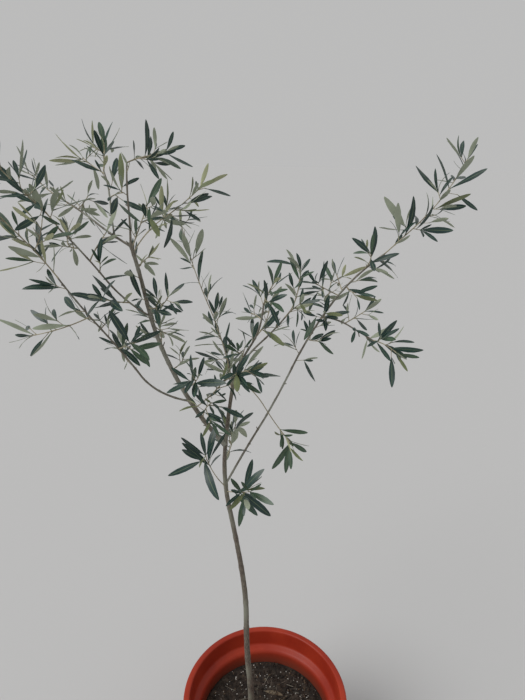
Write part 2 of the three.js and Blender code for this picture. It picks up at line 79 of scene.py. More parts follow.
# Studio: a wide pale floor under a pale sky of the same brightness, and one large soft light from the
# left front, high up, as bright on the floor as the sky is, so that the two meet without a line.
FLOOR_HALF = 60.0
FLOOR_DROP = 0.0006
FLOOR_COLOUR = (0.56, 0.56, 0.56, 1)
SKY_COLOUR = (0.500, 0.499, 0.497, 1)
LIGHT_FROM = (-1.3, -1.0, 1.7)
LIGHT_WIDTH = 38
LIGHT_STRENGTH = 1.66
LIGHT_COLOUR = (1.0, 0.99, 0.98)
FLOOR_ROUGHNESS = 0.9


def mesh_from(name, points, corner_sets, materials, indices=None, uv=None, margin=None):
    """Puts whole arrays into a mesh: points, and faces as arrays of corner numbers. margin, if given,
    flags the points on a sharp margin, and each edge between two of them is creased."""
    mesh = bpy.data.meshes.new(name)
    mesh.vertices.add(len(points))
    mesh.vertices.foreach_set("co", np.asarray(points, np.float32).ravel())
    corners = np.concatenate([c.ravel() for c in corner_sets]).astype(np.int32)
    sizes = np.concatenate([np.full(len(c), c.shape[1]) for c in corner_sets])
    mesh.loops.add(len(corners))
    mesh.loops.foreach_set("vertex_index", corners)
    mesh.polygons.add(len(sizes))
    starts = np.concatenate([[0], np.cumsum(sizes)[:-1]]).astype(np.int32)
    mesh.polygons.foreach_set("loop_start", starts)
    for material in materials:
        mesh.materials.append(material)
    if indices is not None:
        mesh.polygons.foreach_set("material_index", np.asarray(indices, np.int32))
    mesh.update(calc_edges=True)
    if uv is not None:
        layer = mesh.uv_layers.new(name="UVMap")
        layer.data.foreach_set("uv", np.asarray(uv, np.float32)[corners].ravel())
    mesh.shade_smooth()
    if margin is not None:
        ends = np.empty(2 * len(mesh.edges), np.int32)
        mesh.edges.foreach_get("vertices", ends)
        mesh.edges.foreach_set("use_edge_sharp", margin[ends.reshape(-1, 2)].all(axis=1))
    piece = bpy.data.objects.new(name, mesh)
    bpy.context.scene.collection.objects.link(piece)
    return piece


def painted(name, colour, roughness):
    """A new material of one Principled shader with a plain colour and roughness. Gives the material, its
    node tree and the shader."""
    material = bpy.data.materials.new(name)
    material.use_nodes = True
    tree = material.node_tree
    shader = tree.nodes["Principled BSDF"]
    shader.inputs["Base Color"].default_value = colour
    shader.inputs["Roughness"].default_value = roughness
    return material, tree, shader


floor_paint, _, _ = painted("floor_paint", FLOOR_COLOUR, FLOOR_ROUGHNESS)
floor_corners = FLOOR_HALF * np.array([[-1, -1], [1, -1], [1, 1], [-1, 1]])
floor = mesh_from(
    "studio_floor",
    np.column_stack([floor_corners, np.full(4, -FLOOR_DROP)]),
    [np.array([[0, 1, 2, 3]])],
    [floor_paint],
)

world = bpy.data.worlds.new("pale_sky")
bpy.context.scene.world = world
world.use_nodes = True
world.node_tree.nodes["Background"].inputs["Color"].default_value = SKY_COLOUR
bpy.context.scene.view_settings.view_transform = "Standard"

soft_light = bpy.data.objects.new("soft_light", bpy.data.lights.new("soft_light", "SUN"))
bpy.context.scene.collection.objects.link(soft_light)
soft_light.data.energy, soft_light.data.color = LIGHT_STRENGTH, LIGHT_COLOUR
soft_light.data.angle = math.radians(LIGHT_WIDTH)
soft_light.rotation_euler = Vector(LIGHT_FROM).to_track_quat("Z", "Y").to_euler()

# Pot: an injection-moulded tub of red-brown plastic. Its wall widens upwards to a step, then a
# wider band ends in a rolled lip, and inside, the step shows as a ledge just above the soil.
POT_HEIGHT = 0.290
LIP_RADIUS = 0.1746
LIP_INNER_RADIUS = 0.161
LIP_DROP = 0.013
BAND_DEPTH = 0.044
BAND_TAPER = 0.004
LEDGE_WIDTH = 0.012
LEDGE_DROP = 0.006
BASE_RADIUS = 0.118
WALL = 0.0036
SOFT_ROUND = 0.004
FIRM_ROUND = 0.003
LIP_ROUND = 0.0045
TIGHT_ROUND = 0.0018
MOST_OF_SIDE = 0.48
POT_COLOURS = [(0.29, 0.024, 0.010, 1), (0.40, 0.042, 0.016, 1)]
POT_DUST = (0.42, 0.27, 0.19, 1)
# Painted shade: a dark colour laid on the inner wall, in the hollow just above the soil.
INNER_SHADE_COLOUR = (0.085, 0.040, 0.025, 1)
POT_CLOUDS = (0.35, 0.68)
POT_ROUGHNESS = (0.30, 0.56)
POT_GLOSS = 0.28
DUST_TOP = 0.08
DUST_CLOUDS = (0.42, 0.72)
DUST_MOST = 0.34
# The heights over which the painted shade inside the pot fades out, and how strong it is at most.
INNER_SHADE_HEIGHTS = (0.222, 0.246)
INNER_SHADE_MOST = 0.6
MOULD_RINGS = 90
MOULD_WANDER = 0.4
GRAIN_OVER_RINGS = (0.55, 0.75)
POT_GRAIN = (0.10, 0.0006)
POT_SIDES = 160
BLACK = (0, 0, 0, 1)
WHITE = (1, 1, 1, 1)


def rounded(rows, steps=5):
    """An outline from rows (radius, height, round): each corner but the first and last is replaced by a
    quadratic arc that starts and ends its round from it, or nearly half way along a shorter side."""
    corners, rounds = np.array(rows, float)[:, :2], [row[2] for row in rows]
    points = [corners[:1]]
    for before, corner, after, reach in zip(corners, corners[1:], corners[2:], rounds[1:]):
        back, on = before - corner, after - corner
        start = corner + back * min(MOST_OF_SIDE, reach / np.linalg.norm(back))
        end = corner + on * min(MOST_OF_SIDE, reach / np.linalg.norm(on))
        s = np.linspace(0, 1, steps)[:, None]
        points.append((1 - s) ** 2 * start + 2 * s * (1 - s) * corner + s**2 * end)
    return np.concatenate([*points, corners[-1:]])


def ring_faces(rings, sides):
    """Faces of a closed tube by point number: quads between the rings, then a fan to the point that
    closes its foot and one to the point that closes its top, both numbered after the rings."""
    here = np.arange(sides)
    beside = (here + 1) % sides
    row = sides * np.arange(rings - 1)[:, None]
    quads = np.stack([row + here, row + beside, row + sides + beside, row + sides + here], axis=-1)
    last = sides * (rings - 1)
    foot = np.stack([np.full(sides, rings * sides), beside, here], axis=-1)
    top = np.stack([np.full(sides, rings * sides + 1), last + here, last + beside], axis=-1)
    return quads.reshape(-1, 4), np.concatenate([foot, top])


def turned(name, outline, sides, materials, wobble=None):
    """A closed surface of revolution: an outline (radius, height) that starts and ends on the axis,
    turned round Z. wobble, if given, moves the ring points by a function of their places."""
    angle = np.linspace(0, 2 * np.pi, sides, endpoint=False)
    r, z = outline[1:-1, :1], outline[1:-1, 1:]
    points = np.stack([r * np.cos(angle), r * np.sin(angle), z + 0 * angle], axis=-1)
    if wobble is not None:
        points = wobble(points)
    ends = np.array([[0, 0, outline[0, 1]], [0, 0, outline[-1, 1]]])
    everything = np.concatenate([points.reshape(-1, 3), ends])
    return mesh_from(name, everything, ring_faces(len(r), sides), materials)


def feed(tree, value, place):
    """Gives an input its value: another node's socket is linked to it, and a plain value is set."""
    if isinstance(value, bpy.types.NodeSocket):
        tree.links.new(value, place)
    else:
        place.default_value = value


def node_of(tree, kind, values=None, **settings):
    """A new node of a kind with its settings. values gives what its inputs get, by name or number."""
    node = tree.nodes.new("ShaderNode" + kind)
    for name, setting in settings.items():
        setattr(node, name, setting)
    for place, value in (values or {}).items():
        feed(tree, value, node.inputs[place])
    return node


def ramp(tree, source, low, high, colours=(BLACK, WHITE)):
    """A colour ramp between two places of a value, fed by a socket."""
    node = node_of(tree, "ValToRGB", {0: source})
    for element, place, colour in zip(node.color_ramp.elements, (low, high), colours):
        element.position, element.color = place, colour
    return node.outputs["Color"]


def mottle():
    """Shared group: soft blotches and fine grains of a surface, on Object coordinates."""
    group = bpy.data.node_groups.new("surface_mottle", "ShaderNodeTree")
    for way, name, kind, usual in (
        ("INPUT", "Blotch Scale", "Float", 12), ("INPUT", "Grain Scale", "Float", 900),
        ("INPUT", "Stretch", "Vector", (1, 1, 1)),
        ("OUTPUT", "Blotch", "Float", 0), ("OUTPUT", "Grain", "Float", 0),
    ):
        socket = group.interface.new_socket(name, in_out=way, socket_type="NodeSocket" + kind)
        socket.default_value = usual
    given, out = group.nodes.new("NodeGroupInput"), group.nodes.new("NodeGroupOutput")
    place = node_of(group, "TexCoord").outputs["Object"]
    stretched = node_of(group, "VectorMath", {0: place, 1: given.outputs["Stretch"]}, operation="MULTIPLY")
    for part, detail in (("Blotch", 4), ("Grain", 2)):
        scale = given.outputs[part + " Scale"]
        values = {"Vector": stretched.outputs[0], "Scale": scale, "Detail": detail}
        feed(group, node_of(group, "TexNoise", values).outputs["Fac"], out.inputs[part])
    return group


surface_mottle = mottle()


def mottled(tree, blotch, grain, stretch=(1, 1, 1)):
    """The shared mottle placed in a material with its own values."""
    values = {"Blotch Scale": blotch, "Grain Scale": grain, "Stretch": stretch}
    node = node_of(tree, "Group", values, node_tree=surface_mottle)
    return node.outputs["Blotch"], node.outputs["Grain"]


def mixed(tree, factor, a, b):
    """A colour between a and b. Each may be a socket or a plain colour. The node's three colour sockets
    are those two and its result."""
    node = node_of(tree, "Mix", {"Factor": factor}, data_type="RGBA")
    ends = [socket for socket in (*node.inputs, *node.outputs) if socket.type == "RGBA"]
    for value, place in zip((a, b), ends):
        feed(tree, value, place)
    return ends[-1]


def multiplied(tree, a, b):
    """The product of two values, each from a socket."""
    return node_of(tree, "Math", {0: a, 1: b}, operation="MULTIPLY").outputs[0]


def roughened(tree, shader, height, strength, distance):
    """A Bump node from a height to the shader's normal."""
    bump = node_of(tree, "Bump", {"Height": height, "Strength": strength, "Distance": distance})
    feed(tree, bump.outputs["Normal"], shader.inputs["Normal"])


def spread_value(tree, source, low, high):
    """A value moved from 0..1 to low..high."""
    return node_of(tree, "MapRange", {"Value": source, "To Min": low, "To Max": high}).outputs["Result"]


shoulder = POT_HEIGHT - BAND_DEPTH
band_foot = LIP_INNER_RADIUS - BAND_TAPER
lip_foot = POT_HEIGHT - LIP_DROP
wall_lean = (LIP_INNER_RADIUS - LEDGE_WIDTH - WALL - BASE_RADIUS) / shoulder


def pot_radius(height):
    """The radius of the pot's outside below its step, which leans outwards evenly."""
    return BASE_RADIUS + wall_lean * height


pot_outline = rounded([
    (0, 0, 0),
    (BASE_RADIUS, 0, SOFT_ROUND),
    (pot_radius(shoulder - BAND_TAPER), shoulder - BAND_TAPER, FIRM_ROUND),
    (band_foot + WALL, shoulder, FIRM_ROUND),
    (LIP_INNER_RADIUS + WALL, lip_foot, TIGHT_ROUND),
    (LIP_RADIUS, lip_foot, FIRM_ROUND),
    (LIP_RADIUS, POT_HEIGHT, LIP_ROUND),
    (LIP_INNER_RADIUS, POT_HEIGHT, LIP_ROUND),
    (band_foot, shoulder + LEDGE_DROP, SOFT_ROUND),
    (band_foot - LEDGE_WIDTH, shoulder, FIRM_ROUND),
    (pot_radius(shoulder - LEDGE_DROP) - WALL, shoulder - LEDGE_DROP, FIRM_ROUND),
    (pot_radius(WALL) - WALL, WALL, SOFT_ROUND),
    (0, WALL, 0),
])


def dust_low_down(tree, height, clouds):
    """How dusty the pot is: all of it at the floor, none from the dust's top up, and only in clouds."""
    lowness = node_of(tree, "MapRange", {"Value": height, "From Min": DUST_TOP, "From Max": 0.0})
    dust = multiplied(tree, lowness.outputs["Result"], ramp(tree, clouds, *DUST_CLOUDS))
    return spread_value(tree, dust, 0.0, DUST_MOST)


def inner_shade(tree, split):
    """How much painted shade the pot gets: only inside the wall, full at the soil and fading out above it.
    """
    flat = node_of(tree, "CombineXYZ", {axis: split.outputs[axis] for axis in "XY"})
    radius = node_of(tree, "VectorMath", {0: flat.outputs[0]}, operation="LENGTH").outputs["Value"]
    mid_wall = pot_radius(shoulder) - WALL / 2
    inside = node_of(tree, "Math", {0: radius, 1: mid_wall}, operation="LESS_THAN")
    height = ramp(tree, split.outputs["Z"], *INNER_SHADE_HEIGHTS, (WHITE, BLACK))
    return spread_value(tree, multiplied(tree, height, inside.outputs[0]), 0.0, INNER_SHADE_MOST)


def moulded_skin(tree, place, grain):
    """The height of the pot's skin: faint rings from the mould under a fine grain."""
    values = {"Vector": place, "Scale": MOULD_RINGS, "Distortion": MOULD_WANDER}
    rings = node_of(tree, "TexWave", values, bands_direction="Z")
    return mixed(tree, spread_value(tree, grain, *GRAIN_OVER_RINGS), rings.outputs["Color"], WHITE)


pot_plastic, tree, shader = painted("pot_plastic", POT_COLOURS[0], POT_ROUGHNESS[0])
shader.inputs["Specular IOR Level"].default_value = POT_GLOSS
blotch, grain = mottled(tree, blotch=9, grain=700)
place = node_of(tree, "TexCoord").outputs["Object"]
split = node_of(tree, "SeparateXYZ", {0: place})
body_colour = mixed(tree, ramp(tree, blotch, *POT_CLOUDS), *POT_COLOURS)
dusty = mixed(tree, dust_low_down(tree, split.outputs["Z"], blotch), body_colour, POT_DUST)
# Painted shade: the inner wall is darkened from the soil up to the ledge, down in the pot's hollow.
inside_shaded = mixed(tree, inner_shade(tree, split), dusty, INNER_SHADE_COLOUR)
feed(tree, inside_shaded, shader.inputs["Base Color"])
feed(tree, spread_value(tree, blotch, *POT_ROUGHNESS), shader.inputs["Roughness"])
roughened(tree, shader, moulded_skin(tree, place, grain), *POT_GRAIN)

pot_shell = turned("pot_shell", pot_outline, POT_SIDES, [pot_plastic])
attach(pot_shell, "root")
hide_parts("pot")

# Soil: dark potting mix with lighter chips in it, filled to a low crumbly dome round the trunk. Its
# edge stays just clear of the pot's wall.
SOIL_TOP = 0.222
SOIL_EDGE_DROP = 0.006
SOIL_SHOULDER = 0.0025
SOIL_GAP = 0.0006
SOIL_FOOT_GAP = 0.0003
SOIL_SIDES = 220
SOIL_RINGS = 74
LAST_RING = 0.01
DOME_SHARES = (0, 0.5, 0.86, 1.0)
CRUMB_LENGTHS = (0.007, 0.010, 0.014, 0.020, 0.030, 0.045, 0.060)
CRUMB_WAYS = 9
CRUMB_HEIGHT = 0.0135
CRUMB_FADE = 0.05
CRUMB_SINK = 0.0008
SOIL_COLOURS = [(0.011, 0.008, 0.006, 1), (0.048, 0.035, 0.025, 1)]
CHIP_COLOUR = (0.105, 0.070, 0.042, 1)
SOIL_ROUGHNESS = 0.95
SOIL_CLOUDS = (0.38, 0.66)
SOIL_CHIPS = (0.66, 0.72)
SOIL_GRAIN = (0.7, 0.002)
soil_edge = SOIL_TOP - SOIL_EDGE_DROP
soil_reach = pot_radius(soil_edge) - WALL - SOIL_GAP
soil_foot = WALL + SOIL_FOOT_GAP


def crumbled(x, y):
    """Crumbly height: the sum of many sine waves in random directions, 7 to 60 mm long, each as high
    as a small share of its length."""
    lengths = np.array(CRUMB_LENGTHS).repeat(CRUMB_WAYS)
    heading = np.random.default_rng(7).uniform(0, np.pi, len(lengths))
    phase = np.random.default_rng(8).uniform(0, 2 * np.pi, len(lengths))
    distance = x[..., None] * np.cos(heading) + y[..., None] * np.sin(heading)
    return (np.sin(2 * np.pi * distance / lengths + phase) * lengths * CRUMB_HEIGHT).sum(-1)


def soil_height(x, y):
    """The dome's height at a place: flat in the middle and falling to the wall, plus its crumbs, which
    fade out at the wall."""
    r = np.hypot(x, y) / soil_reach
    dome = np.interp(r, DOME_SHARES, [SOIL_TOP, SOIL_TOP, SOIL_TOP - SOIL_SHOULDER, soil_edge])
    return dome + crumbled(x, y) * np.clip((1 - r) / CRUMB_FADE, 0, 1) - CRUMB_SINK


def heap(points):
    """Lifts the soil's upper rings onto its crumbly dome."""
    upper = points[..., 2] > soil_foot
    points[..., 2] = np.where(upper, soil_height(points[..., 0], points[..., 1]), points[..., 2])
    return points


soil_rings = soil_reach * np.linspace(1, LAST_RING, SOIL_RINGS)
soil_outline = np.concatenate([
    [(0, soil_foot), (pot_radius(soil_foot) - WALL - SOIL_GAP, soil_foot)],
    np.column_stack([soil_rings, np.full(SOIL_RINGS, soil_edge)]),
    [(0, SOIL_TOP)],
])
soil_mix, tree, shader = painted("soil_mix", SOIL_COLOURS[0], SOIL_ROUGHNESS)
blotch, grain = mottled(tree, blotch=60, grain=900)
earth = mixed(tree, ramp(tree, blotch, *SOIL_CLOUDS), *SOIL_COLOURS)
chipped = mixed(tree, ramp(tree, grain, *SOIL_CHIPS), earth, CHIP_COLOUR)
feed(tree, chipped, shader.inputs["Base Color"])
roughened(tree, shader, grain, *SOIL_GRAIN)
soil_bed = turned("soil_bed", soil_outline, SOIL_SIDES, [soil_mix], heap)
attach(soil_bed, "root")
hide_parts("soil")

# Lumps: crumbs of soil and bark and smaller white perlite grains, strewn on the soil and partly sunk
# in it. Each is a flattened icosahedron with uneven corners.
CRUMB_COUNT = 2600
CRUMB_SIZES = (0.0016, 0.0062)
CRUMB_SHARES = (0.86, 0.14)
PERLITE_COUNT = 330
PERLITE_SIZES = (0.0010, 0.0034)
LUMP_REACH = 0.97
LUMP_CORNERS = (0.7, 1.2)
LUMP_SQUASH = (0.55, 1.15)
LUMP_RISE = 0.6
PERLITE_COLOUR = (0.72, 0.70, 0.65, 1)
CRUMB_COLOUR = (0.030, 0.019, 0.012, 1)
soil_draw = np.random.default_rng(41)
GOLD = (1 + 5**0.5) / 2
ICOSA_POINTS = np.array([
    (-1, GOLD, 0), (1, GOLD, 0), (-1, -GOLD, 0), (1, -GOLD, 0), (0, -1, GOLD), (0, 1, GOLD),
    (0, -1, -GOLD), (0, 1, -GOLD), (GOLD, 0, -1), (GOLD, 0, 1), (-GOLD, 0, -1), (-GOLD, 0, 1),
]) / math.hypot(1, GOLD)
ICOSA_FACES = np.array([
    (0, 11, 5), (0, 5, 1), (0, 1, 7), (0, 7, 10), (0, 10, 11), (1, 5, 9), (5, 11, 4), (11, 10, 2),
    (10, 7, 6), (7, 1, 8), (3, 9, 4), (3, 4, 2), (3, 2, 6), (3, 6, 8), (3, 8, 9), (4, 9, 5),
    (2, 4, 11), (6, 2, 10), (8, 6, 7), (9, 8, 1),
])


def copied(faces, points, count):
    """The faces of one shape for each of many copies, each with its own stretch of points."""
    return (faces[None] + points * np.arange(count)[:, None, None]).reshape(-1, faces.shape[1])


def scattered_lumps(name, count, sizes, materials, shares, sunk):
    """Small angular lumps strewn on the soil: icosahedra whose corners are moved in and out, each
    squashed, turned at random and sunk by a share of its size."""
    r = soil_reach * LUMP_REACH * np.sqrt(soil_draw.uniform(0.0, 1, count))
    turn = soil_draw.uniform(0, 2 * np.pi, count)
    x, y = r * np.cos(turn), r * np.sin(turn)
    size = soil_draw.uniform(*sizes, count) / 2
    shape = ICOSA_POINTS * soil_draw.uniform(*LUMP_CORNERS, (count, len(ICOSA_POINTS), 1))
    shape = shape * soil_draw.uniform(*LUMP_SQUASH, (count, 1, 3))
    axes = np.linalg.qr(soil_draw.normal(size=(count, 3, 3)))[0]
    axes *= np.sign(np.linalg.det(axes))[:, None, None]
    shape = np.einsum("nij,nkj->nki", axes, shape) * size[:, None, None]
    centre = np.column_stack([x, y, soil_height(x, y) + size * (1 - 2 * sunk) * LUMP_RISE])
    faces = copied(ICOSA_FACES, len(ICOSA_POINTS), count)
    kinds = soil_draw.choice(len(materials), count, p=shares).repeat(len(ICOSA_FACES))
    lumps = mesh_from(name, (shape + centre[:, None]).reshape(-1, 3), [faces], materials, kinds)
    lumps.data.polygons.foreach_set("use_smooth", np.zeros(len(faces), bool))
    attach(lumps, "root")


def clouded(name, colour, tones, roughness, scales, clouds, bump):
    """A material that wanders between two tones in soft clouds, over a fine grain. scales are those of
    clouds and grain, and bump is the grain's strength and height."""
    material, tree, shader = painted(name, colour, roughness)
    blotch, grain = mottled(tree, *scales)
    feed(tree, mixed(tree, ramp(tree, blotch, *clouds), *tones), shader.inputs["Base Color"])
    roughened(tree, shader, grain, *bump)
    return material, tree, shader, blotch


def shaded(colour, share):
    """A colour made darker or paler by a share, no channel past one."""
    return (*[min(1.0, c * share) for c in colour[:3]], 1)


def crumb_paint(name, colour, dark_share, roughness, scale):
    """A rough crumb: a plain colour with darker clouds and a grainy skin."""
    tones = (shaded(colour, dark_share), colour)
    material, *_ = clouded(
        name, colour, tones, roughness, scales=(scale, 2400), clouds=(0.38, 0.62), bump=(0.5, 0.0006)
    )
    return material


perlite = crumb_paint("perlite_grain", PERLITE_COLOUR, dark_share=0.7, roughness=0.85, scale=260)
dark_crumb = crumb_paint("soil_crumb", CRUMB_COLOUR, dark_share=0.35, roughness=0.95, scale=90)
bark_crumb = crumb_paint("bark_crumb", CHIP_COLOUR, dark_share=0.45, roughness=0.85, scale=90)
crumbs = [dark_crumb, bark_crumb]
scattered_lumps("soil_crumbs", CRUMB_COUNT, CRUMB_SIZES, crumbs, CRUMB_SHARES, sunk=0.35)
scattered_lumps("perlite_grains", PERLITE_COUNT, PERLITE_SIZES, [perlite], [1.0], sunk=0.2)

# Trunk and boughs: one thin living trunk that winds a little and flares where it meets the soil, and
# ten boughs that leave it and each other. Each tapers along its own course.
MM = 0.001
TREE_FOOT = np.array([-30.0, 0.0, 222.3])
FLARE = 3.2
FLARE_REACH = 20
STEP = 24
NEARLY_UPRIGHT = 0.96
LIMBS = [
    # name, on, at, azimuths, rises, length, radius at foot and tip: millimetres and degrees
    ("trunk", None, 0, [210, 195, 180, 160, 190, 180, 195], [90, 85, 90, 80, 80, 95, 100], 810, (6.6, 3.0)),
    ("bough_left", "trunk", 675, [205, 185, 205, 225, 230], [50, 60, 70, 80, 75], 390, (4.2, 2.8)),
    ("bough_leader", "bough_left", 388, [80, 130, 50], [85, 85, 85], 115, (1.7, 1.1)),
    ("bough_upper_left", "bough_left", 385, [160, 155, 160], [20, 25, 20], 160, (1.7, 1.2)),
    ("bough_top_left", "bough_upper_left", 35, [125, 115, 140], [60, 65, 55], 105, (1.4, 1.1)),
    ("bough_middle_left", "bough_left", 270, [220, 195, 210], [35, 55, 50], 185, (1.5, 1.2)),
    ("bough_lower_left", "bough_left", 105, [195, 215, 220, 230], [10, 60, 55, 60], 305, (1.8, 1.2)),
    ("bough_right", "trunk", 590, [10, 20, 25, 20, 15], [65, 60, 65, 55, 35], 500, (1.9, 1.5)),
    ("bough_right_side", "bough_right", 355, [-5, -25, -15], [0, -20, -25], 95, (1.4, 1.1)),
    ("bough_centre", "trunk", 795, [-40, -30, -70], [70, 55, 75], 175, (2.0, 1.3)),
    ("bough_centre_right", "trunk", 808, [5, 5, 5], [65, 45, 55], 150, (1.8, 1.2)),
]


def along(values, f):
    """The value at a share f of a limb, between values given at even steps."""
    k = np.asarray(f, float) * (len(values) - 1)
    i = np.clip(np.floor(k).astype(int), 0, len(values) - 2)
    values = np.asarray(values, float)
    return values[i] + (values[i + 1] - values[i]) * (k - i)


def unit(v):
    """The same direction with length one."""
    return v / np.linalg.norm(v, axis=-1, keepdims=True)


def across(t, roll):
    """The direction across a limb that runs along t, turned round it by roll degrees."""
    lean = np.array([0.0, 0, 1]) if abs(t[2]) < NEARLY_UPRIGHT else np.array([1.0, 0, 0])
    side = unit(np.cross(t, lean))
    turn = math.radians(roll)
    return side * math.cos(turn) + np.cross(side, t) * math.sin(turn)


class Limb:
    """A tapering stem: even steps along a heading that turns evenly between given headings."""

    def __init__(self, start, azimuth, rise, length, thick, flare=0.0):
        self.azimuth, self.rise, self.length, self.thick, self.flare = azimuth, rise, length, thick, flare
        self.steps = max(3, math.floor(length / STEP + 0.5))
        self.points = self.walk(start, self.steps)

    def walk(self, start, steps):
        """Points of the centre line, from a number of even steps."""
        ahead = self.heading((np.arange(steps) + 0.5) / steps) * (self.length / steps)
        return start + np.concatenate([np.zeros((1, 3)), np.cumsum(ahead, axis=0)])

    def heading(self, f):
        """The direction of growth at a share f of the length."""
        a, r = np.radians(along(self.azimuth, f)), np.radians(along(self.rise, f))
        return np.stack([np.cos(r) * np.cos(a), np.cos(r) * np.sin(a), np.sin(r)], axis=-1)

    def point(self, f):
        """The place on the centre line at a share f of the length."""
        i = min(math.floor(f * self.steps), self.steps - 1)
        return self.points[i] + (self.points[i + 1] - self.points[i]) * (f * self.steps - i)

    def radius(self, f):
        """An even taper, plus a flare that fades away from the foot."""
        straight = self.thick[0] + (self.thick[1] - self.thick[0]) * np.asarray(f)
        return straight + self.flare * np.exp(-np.asarray(f) * self.length / FLARE_REACH)


limbs = {}
for name, on, at, azimuth, rise, length, thick in LIMBS:
    start = limbs[on].point(at / limbs[on].length) if on else np.zeros(3)
    limbs[name] = Limb(start, azimuth, rise, length, thick, 0 if on else FLARE)

# Bark: smooth and grey-brown, paler on the boughs, streaked lengthwise, with grey clouds and small
# pale lenticels. A low ring shows at each old leaf scar and where a bough leaves.
TIP_ROUND = 0.7
RIDGE_COUNT = 26
RIDGE_TURNS = (1, 8)
RIDGE_LENGTHS = (9, 70)
RIDGE_WEIGHTS = (0.3, 1)
RIDGE_LEAST = 0.06
RIDGE_SHARE = 0.03
ROUGH_FOOT_REACH = 45
OLD_SCARS = [96, 171, 250, 318, 402, 470, 540]
SCARS_FROM = 22
SCARS_END = 6
SCAR_STEP = 27
SCAR_SHIFT = 3
SCAR_SHIFT_BELOW = 11
SCAR_STRETCH = 2.5
SCAR_STRETCHES = 4
RING_LEAST = 0.16
RING_SHARE = 0.05
RING_REACH = 2.6
COLLAR_SHARE = 0.35
TRUNK_COLOURS = [(0.068, 0.054, 0.043, 1), (0.185, 0.155, 0.122, 1), (0.215, 0.215, 0.170, 1)]
BOUGH_COLOURS = [(0.100, 0.088, 0.072, 1), (0.250, 0.228, 0.185, 1), (0.290, 0.295, 0.250, 1)]
LENTICEL = (0.38, 0.35, 0.30, 1)
BARK_ROUGHNESS = (0.7, 0.95)
STREAK_STRETCH = (7.0, 55.0, 1.0)
STREAK_SCALE = 2.2
STREAK_TONES = (0.36, 0.66)
GREY_CLOUDS = (0.50, 0.66)
BARK_GRAIN = (0.45, 0.0014)
LENTICEL_SCALE = 260
LENTICEL_SIZES = (0.10, 0.20)
LENTICEL_MOST = 0.5


def tube(limb, pitch, sides, swell, relief, sink=0.0):
    """A bark tube along a limb: rings at an even pitch round its centre line, each ring's radius the
    limb's own plus swell (by length) plus relief (by angle and length), closed by a point at each end.
    sink, if given, is how far behind the limb's foot it starts. Gives points in metres, quads,
    triangles and (angle share, length) pairs."""
    count = max(4, round(limb.length / pitch))
    centre = limb.walk(limb.points[0], count)
    f = np.linspace(0, 1, count + 1)
    t = limb.heading(f)
    if sink:
        centre = np.concatenate([centre[:1] - t[:1] * sink, centre])
        f, t = np.concatenate([[0], f]), np.concatenate([t[:1], t])
    length = f * limb.length
    side = np.empty_like(t)
    side[0] = across(t[0], 0)
    for k in range(1, len(t)):
        side[k] = unit(side[k - 1] - t[k] * (side[k - 1] @ t[k]))
    over = np.cross(t, side)
    angle = np.linspace(0, 2 * np.pi, sides, endpoint=False)
    grid_angle, grid_length = np.meshgrid(angle, length)
    r = (limb.radius(f) + swell(length))[:, None] + relief(grid_angle, grid_length)
    out = side[:, None] * np.cos(angle)[None, :, None] + over[:, None] * np.sin(angle)[None, :, None]
    points = centre[:, None] + out * r[..., None]
    tips = np.stack([centre[0], centre[-1] + t[-1] * r[-1].mean() * TIP_ROUND])
    everything = (np.concatenate([points.reshape(-1, 3), tips]) + TREE_FOOT) * MM
    uv = np.concatenate([
        np.stack([grid_angle / (2 * np.pi), grid_length * MM], axis=-1).reshape(-1, 2),
        [[0.5, 0], [0.5, limb.length * MM]],
    ])
    return everything, *ring_faces(len(centre), sides), uv


def joined(name, tubes, material):
    """Several tubes as one mesh of one material."""
    points, quads, fans, uvs = zip(*tubes)
    starts = np.cumsum([0, *[len(p) for p in points[:-1]]])
    sets = [np.concatenate([f + start for f, start in zip(faces, starts)]) for faces in (quads, fans)]
    return mesh_from(name, np.concatenate(points), sets, [material], uv=np.concatenate(uvs))


def ridged(seed, depth, rough_foot=0.0):
    """Bark relief as a function of angle and length: shallow lengthwise ridges that wander, as a third
    of a sum of sine waves with whole numbers of turns round the limb, deeper by rough_foot at its foot."""
    draw = np.random.default_rng(seed)
    turns = draw.integers(*RIDGE_TURNS, RIDGE_COUNT)
    waves = draw.uniform(-1, 1, RIDGE_COUNT) / draw.uniform(*RIDGE_LENGTHS, RIDGE_COUNT)
    phase = draw.uniform(0, 2 * np.pi, RIDGE_COUNT)
    share = draw.uniform(*RIDGE_WEIGHTS, RIDGE_COUNT) / np.sqrt(turns)

    def relief(angle, length):
        total = np.zeros_like(angle)
        for around, wave, shift, weight in zip(turns, waves, phase, share):
            total += weight * np.sin(around * angle + 2 * np.pi * wave * length + shift)
        return total / 3 * (depth + rough_foot * np.exp(-length / ROUGH_FOOT_REACH))

    return relief


def knotted(places, height, reach, collar=0.0, collar_reach=5.0):
    """Swelling by length: a low ring at each place, and a collar where the limb leaves its parent."""

    def swell(length):
        total = collar * np.exp(-length / collar_reach)
        for place in places:
            total = total + height * np.exp(-(((length - place) / reach) ** 2))
        return total

    return swell


